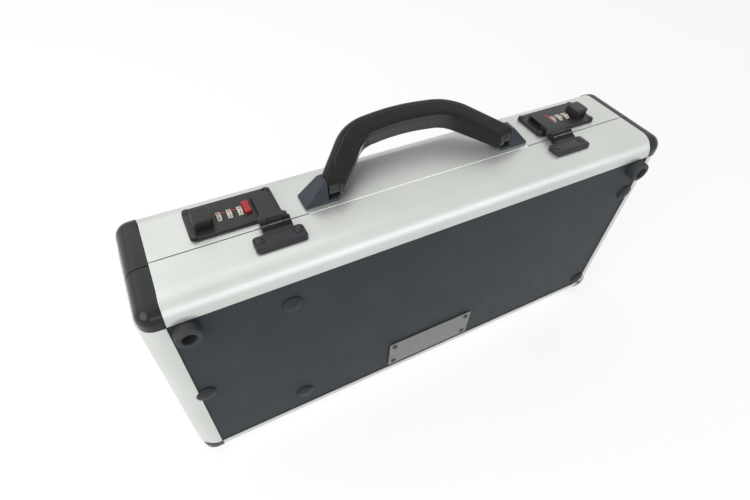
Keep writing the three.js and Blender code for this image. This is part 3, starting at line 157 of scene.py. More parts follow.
class Skin:
    """A Principled material with its node tree at hand."""

    def __init__(self, name, roughness, metallic=0.0, specular=0.5):
        self.material = bpy.data.materials.new(name)
        self.material.use_nodes = True
        self.tree = self.material.node_tree
        self.nodes = self.tree.nodes
        self.links = self.tree.links
        self.shader = self.nodes["Principled BSDF"]
        self.shader.inputs["Roughness"].default_value = roughness
        self.shader.inputs["Metallic"].default_value = metallic
        self.shader.inputs["Specular IOR Level"].default_value = specular
        place = self.nodes.new("ShaderNodeTexCoord")
        self.coordinates = place.outputs["Object"]
        self.normal = place.outputs["Normal"]

    def mapped(self, scale=(1, 1, 1), rotation=(0, 0, 0)):
        node = self.nodes.new("ShaderNodeMapping")
        node.inputs["Scale"].default_value = scale
        node.inputs["Rotation"].default_value = rotation
        self.links.new(self.coordinates, node.inputs["Vector"])
        return node.outputs["Vector"]

    def noise(self, size, detail=2.0, stretch=(1, 1, 1)):
        """Noise whose lumps are about size millimetres across."""
        node = self.nodes.new("ShaderNodeTexNoise")
        node.inputs["Scale"].default_value = 1 / (size * MM)
        node.inputs["Detail"].default_value = detail
        self.links.new(self.mapped(stretch), node.inputs["Vector"])
        return node.outputs["Fac"]

    def cells(self, size):
        """The distance from the middle of the nearest cell, with cells size millimetres apart."""
        node = self.nodes.new("ShaderNodeTexVoronoi")
        node.inputs["Scale"].default_value = 1 / (size * MM)
        self.links.new(self.mapped(), node.inputs["Vector"])
        return node.outputs["Distance"]

    def bands(self, period, turn):
        """Parallel waves, period millimetres apart, turned about Y by so many degrees."""
        node = self.nodes.new("ShaderNodeTexWave")
        node.wave_type = "BANDS"
        node.bands_direction = "X"
        node.inputs["Scale"].default_value = WAVE_LENGTH / (period * MM)
        turned = self.mapped(rotation=(0, math.radians(turn), 0))
        self.links.new(turned, node.inputs["Vector"])
        return node.outputs["Fac"]

    def math(self, operation, first, second):
        return math_node(self.tree, operation, first, second)

    def mixed(self, first, second, share):
        """The share of the first value, and the rest from the second."""
        rest = self.math("MULTIPLY", second, 1 - share)
        return self.math("ADD", self.math("MULTIPLY", first, share), rest)

    def near_barrel(self, reach):
        """1 within reach millimetres of the hasp barrel's axis, 0 beyond it."""
        flat = self.nodes.new("ShaderNodeVectorMath")
        flat.operation = "MULTIPLY"
        flat.inputs[1].default_value = (0, 1, 1)
        self.links.new(self.coordinates, flat.inputs[0])
        away = self.nodes.new("ShaderNodeVectorMath")
        away.operation = "DISTANCE"
        away.inputs[1].default_value = (0, BARREL_Y * MM, BARREL_Z * MM)
        self.links.new(flat.outputs["Vector"], away.inputs[0])
        edge = ((reach - BARREL_SOFTNESS) * MM, (reach + BARREL_SOFTNESS) * MM)
        return map_range(self.tree, away.outputs["Value"], edge, (1, 0))

    def facing(self, direction, shares):
        """0 where the normal's share along the direction is the first of the two, 1 at the second."""
        along = self.nodes.new("ShaderNodeVectorMath")
        along.operation = "DOT_PRODUCT"
        along.inputs[1].default_value = direction
        self.links.new(self.normal, along.inputs[0])
        return map_range(self.tree, along.outputs["Value"], shares, (0, 1))

    def colours(self, factor, low, high):
        """The base colour, between two stops of a place on the factor and its colour."""
        ramp = self.nodes.new("ShaderNodeValToRGB")
        for element, (place, colour) in zip(ramp.color_ramp.elements, (low, high)):
            element.position = place
            element.color = colour
        self.links.new(factor, ramp.inputs["Fac"])
        self.links.new(ramp.outputs["Color"], self.shader.inputs["Base Color"])

    def vary(self, socket, factor, low, high):
        """Low where the factor is 0, high where it is 1."""
        self.links.new(map_range(self.tree, factor, (0, 1), (low, high)), self.shader.inputs[socket])

    def bump(self, height, depth):
        """Height times depth millimetres of relief."""
        node = self.nodes.new("ShaderNodeBump")
        node.inputs["Strength"].default_value = 1.0
        node.inputs["Distance"].default_value = depth * MM
        self.links.new(height, node.inputs["Height"])
        self.links.new(node.outputs["Normal"], self.shader.inputs["Normal"])


# Where a noise counts as darkest and as lightest
NOISE_LOW = 0.3
NOISE_HIGH = 0.7
BLOTCH_DETAIL = 3.0
GLOSS_PATCH_SHARE = 1 / 3
GLOSS_SPREAD = 0.12


def mottled(name, colour, roughness, size=6.0, spread=0.08, grain=0.35, grain_depth=0.01, **look):
    """A plain colour with soft mottling, uneven gloss and a fine moulded or coated grain."""
    skin = Skin(name, roughness, **look)
    blotches = skin.noise(size, BLOTCH_DETAIL)
    darker = shade(colour, 1 - spread)
    lighter = shade(colour, 1 + spread)
    skin.colours(blotches, (NOISE_LOW, darker), (NOISE_HIGH, lighter))
    patches = skin.noise(size * GLOSS_PATCH_SHARE, BLOTCH_DETAIL)
    skin.vary("Roughness", patches, roughness * (1 - GLOSS_SPREAD), roughness * (1 + GLOSS_SPREAD))
    skin.bump(skin.noise(grain), grain_depth)
    return skin.material


def anodised(name, stretch):
    """Satin anodised aluminium, its faint die lines running along the bar."""
    skin = Skin(name, roughness=0.36, metallic=0.55)
    lines = skin.noise(0.5, stretch=stretch)
    clouds = skin.noise(60)
    tone = skin.mixed(lines, clouds, share=0.35)
    skin.colours(tone, (NOISE_LOW, srgb(214, 218, 213)), (NOISE_HIGH, srgb(228, 231, 226)))
    skin.vary("Roughness", lines, 0.32, 0.42)
    skin.bump(lines, depth=0.004)
    return skin.material


# The glossy paint's specular level away from the barrel, on it, and where it faces the sheen.
# The export drops a linked level, so the socket's own value is the plain one.
SATIN_SPECULAR = 0.4
BARREL_SPECULAR = 0.18
SHEEN_SPECULAR = 0.98
SHEEN_DIRECTION = (0, -0.9, 0.44)
SHEEN_SHARES = (0.92, 0.97)


def part_glossy(name, satin, gloss, reach):
    """Satin paint that is darker and smoother round the hasp's barrel, with a sheen to the front."""
    skin = Skin(name, roughness=0.36, specular=SATIN_SPECULAR)
    near = skin.near_barrel(reach)
    skin.colours(near, (0.1, satin), (0.9, gloss))
    skin.vary("Roughness", near, 0.34, 0.1)
    front = skin.math("MULTIPLY", near, skin.facing(SHEEN_DIRECTION, SHEEN_SHARES))
    sheen = skin.math("MULTIPLY", front, SHEEN_SPECULAR - BARREL_SPECULAR)
    change = skin.math("MULTIPLY", near, BARREL_SPECULAR - SATIN_SPECULAR)
    plain = skin.math("ADD", change, SATIN_SPECULAR)
    skin.links.new(skin.math("ADD", plain, sheen), skin.shader.inputs["Specular IOR Level"])
    skin.bump(skin.noise(0.3), depth=0.006)
    return skin.material


# The side of the grip that the fingers close round, where a bluer colour is painted reflection, and the
# specular level there and elsewhere
REFLECTION_PAINT_DIRECTION = (0, -0.94, -0.34)
REFLECTION_PAINT_SHARES = (0.66, 0.98)
INNER_SPECULAR = 0.85
OUTER_SPECULAR = 0.28


def grip_paint():
    """Smooth brown-black moulding, glossier on the grip's inner side, where a bluer colour is painted
    reflection.
    """
    skin = Skin("grip_brown_black", roughness=0.16, specular=OUTER_SPECULAR)
    inner = skin.facing(REFLECTION_PAINT_DIRECTION, REFLECTION_PAINT_SHARES)
    # The bluer colour on the inner side is painted reflection
    skin.colours(inner, (0, srgb(17, 15, 12)), (1, srgb(32, 34, 41)))
    skin.vary("Specular IOR Level", inner, OUTER_SPECULAR, INNER_SPECULAR)
    skin.bump(skin.noise(0.6), depth=0.006)
    return skin.material


def weave():
    """Dark sheet with an embossed weave of fine diagonal ribs."""
    skin = Skin("panel_weave", roughness=0.5, specular=0.12)
    relief = skin.math("MULTIPLY", skin.bands(1.4, turn=45), skin.bands(1.4, turn=-45))
    clouds = skin.noise(40)
    tone = skin.mixed(relief, clouds, share=0.7)
    skin.colours(tone, (0.1, srgb(56, 61, 66)), (0.75, srgb(83, 88, 93)))
    skin.vary("Roughness", relief, 0.5, 0.4)
    skin.bump(relief, depth=0.12)
    return skin.material


def foam(name, colour):
    """Matt foam with open pores."""
    skin = Skin(name, roughness=0.95, specular=0.2)
    pores = skin.cells(0.9)
    skin.colours(pores, (0.05, shade(colour, 0.6)), (0.5, shade(colour, 1.15)))
    skin.bump(pores, depth=0.25)
    return skin.material


# A mottled one gives its name, colour and roughness, then what differs from the usual
ALUMINIUM_X = anodised("anodised_along_x", (0.01, 1, 1))
ALUMINIUM_Z = anodised("anodised_along_z", (1, 1, 0.01))
CORNER = mottled("corner_gloss", srgb(32, 34, 37), 0.1, spread=0.06,
                 grain=1.2, grain_depth=0.002, specular=0.3)
PANEL = weave()
# Black of painted shade, in the gap between the halves and in the corner between each panel and its
# frame
PAINTED_SHADE_BLACK = mottled("painted_shade_black", srgb(28, 28, 30), 0.6)
RUBBER = mottled("rubber_grey", srgb(50, 53, 56), 0.62, grain=0.5, grain_depth=0.02)
STUD = mottled("stud_grey", srgb(41, 44, 48), 0.5, grain=0.5, grain_depth=0.02, specular=0.3)
PLATE = mottled("plate_satin", srgb(131, 133, 129), 0.4, grain=0.3, grain_depth=0.006, metallic=0.75)
RIVET = mottled("rivet_dark", srgb(40, 40, 39), 0.35, metallic=0.4)
LOCK = mottled("lock_satin", srgb(45, 46, 48), 0.36, size=4, grain=0.3, specular=0.4)
HASP = part_glossy("hasp_paint", srgb(47, 49, 52), srgb(12, 12, 13), reach=4.4)
KEEPER = part_glossy("keeper_paint", srgb(42, 44, 48), srgb(12, 12, 14), reach=6.2)
THUMB = mottled("thumb_moulding", srgb(46, 46, 43), 0.3, size=3,
                grain=0.3, grain_depth=0.006, specular=0.35)
LEVER = mottled("lever_red", srgb(192, 42, 44), 0.4, size=3, grain=0.3)
INDEX = mottled("index_red", srgb(200, 36, 42), 0.5, size=3)
DIAL = mottled("dial_cream", srgb(236, 232, 220), 0.42, size=2, spread=0.04,
               grain=0.2, grain_depth=0.004)
# Dark print of the numbers; the same dark makes the lines of painted shade in the dial notches
PRINT_AND_NOTCH_SHADE = mottled("dial_print_and_notch_shade", srgb(26, 26, 28), 0.5, size=1)
STEEL = mottled("steel_plain", srgb(172, 174, 176), 0.3, grain=0.4, grain_depth=0.004, metallic=1.0)
HINGE = mottled("hinge_black", srgb(44, 45, 48), 0.42, metallic=0.3)
GRIP = grip_paint()
# A lighter colour in the grip's seam groove, which is a painted highlight
GRIP_HIGHLIGHT = mottled("grip_seam_painted_highlight", srgb(74, 71, 66), 0.4, size=8, specular=0.4)
# A bright metallic strip on the parting line, whose colour is a painted highlight
PARTING_HIGHLIGHT = mottled("parting_painted_highlight", srgb(246, 248, 245), 0.24, size=8, spread=0.02, metallic=1.0)
# Black of the painted shade at the feet of the screw bosses
BOSS_FOOT_SHADE = mottled("boss_foot_painted_shade", srgb(15, 15, 16), 0.5, size=2, specular=0.2)
BRACKET = mottled("bracket_blue_black", srgb(72, 76, 84), 0.36, size=5,
                  grain=0.4, grain_depth=0.012, specular=0.18)
FOAM = foam("foam_charcoal", srgb(56, 57, 61))


# Meshes

# Corners that are closer than this are merged, and faces within this many degrees made one
WELD = 0.002
FLAT_ANGLE = 1
# Edges sharper than these, in degrees, are rounded or stay sharp in the shading
BEVEL_ANGLE = 35
SMOOTH_ANGLE = 38


def metres(x, y, z):
    return (x * MM, y * MM, z * MM)


def mesh_object(name, mesh, skin, slot=None):
    mesh.materials.clear()
    mesh.materials.append(skin)
    made = bpy.data.objects.new(name, mesh)
    bpy.context.scene.collection.objects.link(made)
    if slot:
        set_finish(made, slot)
    return made


def from_bmesh(bm, name):
    bmesh.ops.recalc_face_normals(bm, faces=bm.faces)
    mesh = bpy.data.meshes.new(name)
    bm.to_mesh(mesh)
    bm.free()
    return mesh


def smooth(mesh, angle=SMOOTH_ANGLE):
    for polygon in mesh.polygons:
        polygon.use_smooth = True
    mesh.set_sharp_from_angle(angle=math.radians(angle))


def applied(made):
    """The object with its modifiers made part of its mesh."""
    bpy.context.view_layer.update()
    graph = bpy.context.evaluated_depsgraph_get()
    mesh = bpy.data.meshes.new_from_object(made.evaluated_get(graph))
    made.modifiers.clear()
    made.data = mesh
    return made


def softened(made, bevel=0, segments=1, angle=SMOOTH_ANGLE):
    """Rounds the hard edges and shades the rest smooth."""
    if bevel:
        modifier = made.modifiers.new("bevel", "BEVEL")
        modifier.width = bevel * MM
        modifier.segments = segments
        modifier.limit_method = "ANGLE"
        modifier.angle_limit = math.radians(BEVEL_ANGLE)
        applied(made)
    smooth(made.data, angle)
    weighted = made.modifiers.new("weighted", "WEIGHTED_NORMAL")
    weighted.keep_sharp = True
    return applied(made)


def refined(node, skin, slot, bevel, segments=2):
    """A copy of a solid with merged faces and rounded edges, standing for that solid."""
    bm = bmesh.new()
    bm.from_mesh(frame["nodes"][node].data)
    bmesh.ops.remove_doubles(bm, verts=bm.verts, dist=WELD * MM)
    flat = math.radians(FLAT_ANGLE)
    bmesh.ops.dissolve_limit(bm, angle_limit=flat, verts=bm.verts, edges=bm.edges)
    bm.verts.index_update()
    points = [vertex.co.copy() for vertex in bm.verts]
    faces = [[vertex.index for vertex in face.verts] for face in bm.faces]
    bm.free()
    mesh = bpy.data.meshes.new(node + "_skin")
    mesh.from_pydata(points, [], faces)
    made = softened(mesh_object(node + "_skin", mesh, skin, slot), bevel, segments)
    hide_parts(node)
    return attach(made, frame["nodes"][node]["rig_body"])


def arc(centre_r, centre_h, radius, start, end, steps):
    """Points round a centre, from one angle to another in degrees."""
    angles = [math.radians(start + (end - start) * i / steps) for i in range(steps + 1)]
    return [(centre_r + radius * math.cos(a), centre_h + radius * math.sin(a)) for a in angles]


def rectangle(x, y):
    return [(x[0], y[0]), (x[1], y[0]), (x[1], y[1]), (x[0], y[1])]


def rounded(x, y, radius, steps=6):
    """A rectangle with round corners."""
    points = []
    for cx, cy, start in ((x[1], y[1], 0), (x[0], y[1], 90), (x[0], y[0], 180), (x[1], y[0], 270)):
        sx = -1 if cx == x[1] else 1
        sy = -1 if cy == y[1] else 1
        points += arc(cx + sx * radius, cy + sy * radius, radius, start, start + 90, steps)
    return points


def lathe(name, profile, place, turn, skin, slot, steps=48):
    """Turned about local Z from (radius, height) points that start and end on the axis."""
    bm = bmesh.new()
    angles = [2 * math.pi * i / steps for i in range(steps)]
    rings = []
    for radius, height in profile:
        if radius == 0:
            rings.append([bm.verts.new((0, 0, height * MM))])
            continue
        ring = [(radius * MM * math.cos(a), radius * MM * math.sin(a), height * MM) for a in angles]
        rings.append([bm.verts.new(point) for point in ring])
    for low, high in zip(rings, rings[1:]):
        for i in range(steps):
            j = (i + 1) % steps
            corners = [low[i % len(low)], low[j % len(low)], high[j % len(high)], high[i % len(high)]]
            bm.faces.new(list(dict.fromkeys(corners)))
    bmesh.ops.transform(bm, matrix=Matrix.Translation(Vector(place) * MM) @ turn, verts=bm.verts)
    made = mesh_object(name, from_bmesh(bm, name), skin, slot)
    smooth(made.data)
    return made


def prism(name, outline, low, high, matrix, skin, slot, bevel=0, segments=1):
    """An outline in local X and Y, raised from low to high along local Z."""
    bm = bmesh.new()
    bottom = [bm.verts.new(metres(x, y, low)) for x, y in outline]
    top = [bm.verts.new(metres(x, y, high)) for x, y in outline]
    bm.faces.new(bottom)
    bm.faces.new(top)
    for i in range(len(outline)):
        j = (i + 1) % len(outline)
        bm.faces.new((bottom[i], bottom[j], top[j], top[i]))
    bmesh.ops.transform(bm, matrix=matrix, verts=bm.verts)
    return softened(mesh_object(name, from_bmesh(bm, name), skin, slot), bevel, segments)


def block(name, x, y, z, skin, bevel=0, segments=1):
    return prism(name, rectangle(x, y), z[0], z[1], UPWARDS, skin, None, bevel, segments)


def cut(bm, place, normal, clear_outer=False):
    """Cuts the faces along a plane, and clears what lies beyond it where that is asked."""
    everything = list(bm.verts) + list(bm.edges) + list(bm.faces)
    bmesh.ops.bisect_plane(bm, geom=everything, plane_co=place, plane_no=normal,
                           clear_outer=clear_outer)


def joined(name, parts):
    """One object from several, keeping the first one's skin and slot."""
    bm = bmesh.new()
    for part in parts:
        bm.from_mesh(part.data)
    mesh = bpy.data.meshes.new(name)
    bm.to_mesh(mesh)
    bm.free()
    first = parts[0]
    made = mesh_object(name, mesh, first.data.materials[0], first.get("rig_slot"))
    smooth(mesh)
    for part in parts:
        bpy.data.objects.remove(part)
    return made


def combined(made, tool, operation):
    """The object after a boolean with the tool, which is used up."""
    modifier = made.modifiers.new("boolean", "BOOLEAN")
    modifier.operation = operation
    modifier.solver = "EXACT"
    modifier.object = tool
    applied(made)
    bpy.data.objects.remove(tool)
    return made


# Frames, corners, panels and foam

# The bead lies this far inside the panel's edge, which the frame's lips cover
BEAD_INSET = 3.6
BEAD_RADIUS = 0.45
BEAD_STEPS = 6
BEAD_SMOOTH_ANGLE = 50


def dress_halves():
    for half in ("lid", "base"):
        for level in ("top", "bottom"):
            refined(f"{half}_frame_{level}", ALUMINIUM_X, "frame", bevel=0.35)
        for side in SIDES:
            refined(f"{half}_frame_{side}", ALUMINIUM_Z, "frame", bevel=0.35)
            for level in ("top", "bottom"):
                refined(f"{half}_corner_{level}_{side}", CORNER, "corner", bevel=0.35)
        refined(f"{half}_panel", PANEL, "panel", bevel=0.2)
        refined(f"{half}_foam", FOAM, "foam", bevel=1.6, segments=3)
        bead(half)


def bead(half):
    """A thin black bead in the corner between the panel and the frame's lips, which is painted shade.
    """
    low, high = box_mm(f"{half}_panel")
    x = (low.x + BEAD_INSET, high.x - BEAD_INSET)
    z = (low.z + BEAD_INSET, high.z - BEAD_INSET)
    face = low.y if half == "lid" else high.y
    out = -1 if half == "lid" else 1
    corners = ((x[0], z[0], 1, 1), (x[1], z[0], -1, 1), (x[1], z[1], -1, -1), (x[0], z[1], 1, -1))
    bm = bmesh.new()
    rings = []
    for cx, cz, sx, sz in corners:
        ring = []
        for i in range(BEAD_STEPS + 1):
            angle = math.pi * i / BEAD_STEPS
            inwards = BEAD_RADIUS * (1 - math.cos(angle))
            rise = BEAD_RADIUS * math.sin(angle)
            ring.append(bm.verts.new(metres(cx + sx * inwards, face + out * rise, cz + sz * inwards)))
        rings.append(ring)
    for a, b in zip(rings, rings[1:] + rings[:1]):
        for i in range(BEAD_STEPS):
            bm.faces.new((a[i], a[i + 1], b[i + 1], b[i]))
        bm.faces.new((a[-1], a[0], b[0], b[-1]))
    made = mesh_object(f"{half}_bead", from_bmesh(bm, f"{half}_bead"), PAINTED_SHADE_BLACK)
    smooth(made.data, BEAD_SMOOTH_ANGLE)
    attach(made, half)


# The parting gap

# Black strips of painted shade in the gap between the halves, and their sizes
STRIP_WIDTH = 0.72
STRIP_DEPTH = 0.55
STRIP_BACK = 1.5
STRIP_END = 4
STRIP_ROUND = 0.05
# The strip of painted highlight reaches this far to each side of the middle, and laps over the gap's
# two edges
HIGHLIGHT_SPAN = 100
HIGHLIGHT_OVERLAP = 0.12
HIGHLIGHT_RISE = 0.14
HIGHLIGHT_ROUND = 0.3


def parting_strips():
    """What fills the gap between the halves: black strips of painted shade, with a bright strip of
    painted highlight between the locks.
    """
    top_low, top_high = box_mm("base_frame_top")
    side_low, side_high = box_mm("base_frame_left")
    y = (PARTING_Y - STRIP_WIDTH / 2, PARTING_Y + STRIP_WIDTH / 2)
    z = (TOP_Z - STRIP_BACK, TOP_Z - STRIP_DEPTH)
    spans = ((top_low.x + STRIP_END, -HIGHLIGHT_SPAN), (HIGHLIGHT_SPAN, top_high.x - STRIP_END))
    dark = [block(f"seal_top_{i}", x, y, z, PAINTED_SHADE_BLACK, STRIP_ROUND, 3) for i, x in enumerate(spans)]
    upright = (side_low.z + STRIP_END, side_high.z - STRIP_END)
    for i, x in enumerate((cad_box[0][0] / MM, cad_box[1][0] / MM)):
        sign = 1 if x < 0 else -1
        across = sorted((x + sign * STRIP_DEPTH, x + sign * STRIP_BACK))
        dark.append(block(f"shade_side_{i}", across, y, upright, PAINTED_SHADE_BLACK, STRIP_ROUND))
    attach(joined("parting_painted_shade", dark), "base")
    wide = (y[0] - HIGHLIGHT_OVERLAP, y[1] + HIGHLIGHT_OVERLAP)
    high = (z[0], TOP_Z + HIGHLIGHT_RISE)
    highlight_strip = block("parting_highlight_strip", (-HIGHLIGHT_SPAN, HIGHLIGHT_SPAN), wide, high, PARTING_HIGHLIGHT, HIGHLIGHT_ROUND, 3)
    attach(highlight_strip, "base")


# Feet, domes and the bare plate of the front panel

FOOT_BRIM = 0.4
FOOT_TAPER = 0.35
FOOT_ROUND = 1.6
FOOT_BORE = 5
FOOT_BORE_ROUND = 0.8
FOOT_BORE_DRAFT = 0.05
FOOT_FLOOR = 1.5
FOOT_FLOOR_EDGE = 0.4
FOOT_FLOOR_RISE = 0.5

STUDS = ("left_edge", "left_low", "left_high", "right_high", "right_low")
STUD_RADIUS = 7.7
STUD_RIM = 0.9
STUD_WALL_SHARE = 0.7
STUD_CAP_SHARE = 0.97
# A stud that is narrower than its full width by more than this is cut by the frame
STUD_CUT_MARGIN = 1

PLATE_THICKNESS = 1.4
PLATE_CORNER = 1.2
PLATE_ROUND = 0.35
RIVET_INSET = 5.6
RIVET_RADIUS = 2.5
RIVET_ROUND = 0.45
RIVET_EDGE = 0.5
RIVET_HEIGHT = 0.78
RIVET_SINK = 0.1


def dress_panel_fittings():
    for side in SIDES:
        dress_foot(f"tube_foot_{side}")
    for name in STUDS:
        dress_stud("stud_" + name)
    dress_plate()


def dress_foot(node):
    """A tube that stands on its brim, with a rolled mouth and a floor inside."""
    low, high = box_mm(node)
    centre = ((low.x + high.x) / 2, high.y, (low.z + high.z) / 2)
    radius = (high.x - low.x) / 2
    height = high.y - low.y
    profile = [(0, 0), (radius, 0), (radius, FOOT_BRIM)]
    profile += arc(radius - FOOT_TAPER - FOOT_ROUND, height - FOOT_ROUND, FOOT_ROUND, 0, 90, 6)
    profile += arc(FOOT_BORE + FOOT_BORE_ROUND, height - FOOT_BORE_ROUND, FOOT_BORE_ROUND, 90, 180, 4)
    profile.append((FOOT_BORE - FOOT_BORE_DRAFT, FOOT_FLOOR + FOOT_FLOOR_RISE))
    profile += [(FOOT_BORE - FOOT_FLOOR_EDGE, FOOT_FLOOR), (0, FOOT_FLOOR)]
    foot = lathe(node + "_skin", profile, centre, FRONTWARDS, RUBBER, "tube_foot", steps=64)
    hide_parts(node)
    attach(foot, "lid")


def dress_stud(node):
    """A low dome with a rolled rim, cut straight where the frame covers it."""
    low, high = box_mm(node)
    height = high.y - low.y
    z = (low.z + high.z) / 2
    x = (low.x + high.x) / 2
    if high.x - low.x < 2 * STUD_RADIUS - STUD_CUT_MARGIN:
        x = low.x + STUD_RADIUS if low.x > 0 else high.x - STUD_RADIUS
    rise = height - STUD_RIM
    sphere = (STUD_RADIUS ** 2 + rise ** 2) / (2 * rise)
    edge = math.degrees(math.asin(STUD_RADIUS / sphere))
    cap = arc(0, height - sphere, sphere, 90 - edge * STUD_CAP_SHARE, 90, 10)
    profile = [(0, 0), (STUD_RADIUS, 0), (STUD_RADIUS, STUD_RIM * STUD_WALL_SHARE)]
    profile += cap[:-1] + [(0, height)]
    made = lathe(node + "_skin", profile, (x, high.y, z), FRONTWARDS, STUD, "stud")
    bm = bmesh.new()
    bm.from_mesh(made.data)
    for place, normal in ((low.x, (-1, 0, 0)), (high.x, (1, 0, 0))):
        cut(bm, (place * MM, 0, 0), normal, clear_outer=True)
        bmesh.ops.holes_fill(bm, edges=[edge for edge in bm.edges if edge.is_boundary])
    bmesh.ops.recalc_face_normals(bm, faces=bm.faces)
    bm.to_mesh(made.data)
    bm.free()
    smooth(made.data)
    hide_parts(node)
    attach(made, "lid")


def dress_plate():
    """The bare name plate and its four rivets."""
    low, high = box_mm("badge_plate")
    x = (low.x, high.x)
    z = (low.z, high.z)
    outline = [(px, -pz) for px, pz in rounded(x, z, PLATE_CORNER)]
    flip = Matrix.Diagonal((1, -1, 1, 1))
    place = Matrix.Translation((0, high.y * MM, 0)) @ FRONTWARDS @ flip
    plate = prism("name_plate", outline, 0, PLATE_THICKNESS, place, PLATE, "badge", PLATE_ROUND, 3)
    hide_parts("badge_plate")
    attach(plate, "lid")
    cap = [(0, 0), (RIVET_RADIUS, 0)]
    cap += arc(RIVET_RADIUS - RIVET_EDGE, RIVET_ROUND, RIVET_ROUND, 10, 90, 4) + [(0, RIVET_HEIGHT)]
    foot_y = high.y - PLATE_THICKNESS + RIVET_SINK
    rivets = []
    for i, cx in enumerate((x[0] + RIVET_INSET, x[1] - RIVET_INSET)):
        for j, cz in enumerate((z[0] + RIVET_INSET, z[1] - RIVET_INSET)):
            spot = (cx, foot_y, cz)
            rivets.append(lathe(f"rivet_{i}{j}", cap, spot, FRONTWARDS, RIVET, "badge", steps=24))
    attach(joined("name_plate_rivets", rivets), "lid")


# Hinges

def dress_hinges():
    for side in SIDES:
        refined(f"hinge_{side}_lid_leaf", HINGE, "hinge", bevel=0.15)
        refined(f"hinge_{side}_base_leaf", HINGE, "hinge", bevel=0.15)
        refined(f"hinge_{side}_pin", STEEL, "steel", bevel=0.2)


# Lock plates: u runs inwards from a plate's outer end, v back from its front edge

LOCK_OUTER_X = 181.995
LOCK_FRONT = 5
LOCK_LENGTH = 65
LOCK_DEPTH = 33
LOCK_TOP = 2.75

INDEX_V = 17.7
INDEX_WIDTH = 1.3
INDEX_SPANS = ((18.6, 20.7), (25.1, 28.2), (32.6, 35.7))
INDEX_CORNER = 0.3
INDEX_SINK = 0.3
INDEX_RISE = 0.12
INDEX_ROUND = 0.06

BOSS_INSET = 3.5
BOSS_RADIUS = 2.6
KEEPER_BOSS_INSET = 4.6
KEEPER_BOSS_RADIUS = 2.9
KEEPER_BOSS_Y = 15.3
KEEPER_TOP = 3.45
# The section of a ring of painted shade at a boss's foot: beyond the boss's radius, and above the plate
SHADE_RING_SECTION = ((0.35, -0.4), (0.35, 0.05), (0.15, 0.14), (-0.2, 0.04))


def lock_point(side, u, v):
    sign = -1 if side == "left" else 1
    return sign * (LOCK_OUTER_X - u), PARTING_Y + LOCK_FRONT + v


def index_line(side):
    """The red line that the numbers are read against, inlaid in the plate between the dials."""
    level = TOP_Z + LOCK_TOP
    parts = []
    for i, (start, end) in enumerate(INDEX_SPANS):
        x0, y = lock_point(side, start, INDEX_V)
        x1, _ = lock_point(side, end, INDEX_V)
        x = (min(x0, x1), max(x0, x1))
        outline = rounded(x, (y - INDEX_WIDTH / 2, y + INDEX_WIDTH / 2), INDEX_CORNER, 3)
        parts.append(prism(f"index_{side}_{i}", outline, level - INDEX_SINK, level + INDEX_RISE,
                           UPWARDS, INDEX, None, INDEX_ROUND))
    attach(joined(f"{side}_index_line", parts), "base")


def ring_disc(name, x, y, rise, radius):
    """A dark ring of painted shade with a closed middle, which lies inside the boss."""
    profile = [(radius + out, up) for out, up in SHADE_RING_SECTION]
    profile = [(0, profile[0][1])] + profile + [(0, profile[-1][1])]
    return lathe(name, profile, (x, y, TOP_Z + rise), UPWARDS, BOSS_FOOT_SHADE, None)


def boss_rings(side):
    """Dark rings of painted shade at the feet of the screw bosses of a lock's plate and keeper."""
    far = LOCK_LENGTH - BOSS_INSET
    deep = LOCK_DEPTH - BOSS_INSET
    places = [(BOSS_INSET, BOSS_INSET), (BOSS_INSET, deep), (far, deep)]
    if side == "right":
        places.append((far, BOSS_INSET))
    rings = [ring_disc(f"boss_ring_{side}_{i}", *lock_point(side, u, v), LOCK_TOP, BOSS_RADIUS)
             for i, (u, v) in enumerate(places)]
    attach(joined(f"{side}_boss_rings", rings), "base")
    low, high = box_mm(f"keeper_{side}")
    y = PARTING_Y - KEEPER_BOSS_Y
    rings = [ring_disc(f"keeper_ring_{side}_{i}", x, y, KEEPER_TOP, KEEPER_BOSS_RADIUS)
             for i, x in enumerate((low.x + KEEPER_BOSS_INSET, high.x - KEEPER_BOSS_INSET))]
    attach(joined(f"{side}_keeper_foot_shades", rings), "lid")


# Dials

NUMBERS = 10
NUMBER_STEP = 360 / NUMBERS
FIRST_NUMBER_ANGLE = 81
DIAL_NOTCH = 0.45
DIAL_BORE = 1.5
DIAL_EDGE = 0.25
DIAL_SMOOTH_ANGLE = 30
# Where the points of a number's face lie, as shares of the step from number to number
FACE_SHARES = (-0.4, -0.2, 0, 0.2, 0.4)

DIGIT_SIZE = 3.9
DIGIT_WIDTH_SHARE = 1.1
# Cuts across a digit, so that it can bend, counted each way from its middle
DIGIT_CUTS = 4
DIGIT_CUT_GAP = 0.35
DIGIT_LIFT = 0.01
PRINT_RISE = 0.03
# The dark lines in the notches are painted shade: how far they sink, and their width
NOTCH_SHADE_SINK = 0.05
NOTCH_SHADE_WIDTH = 0.34


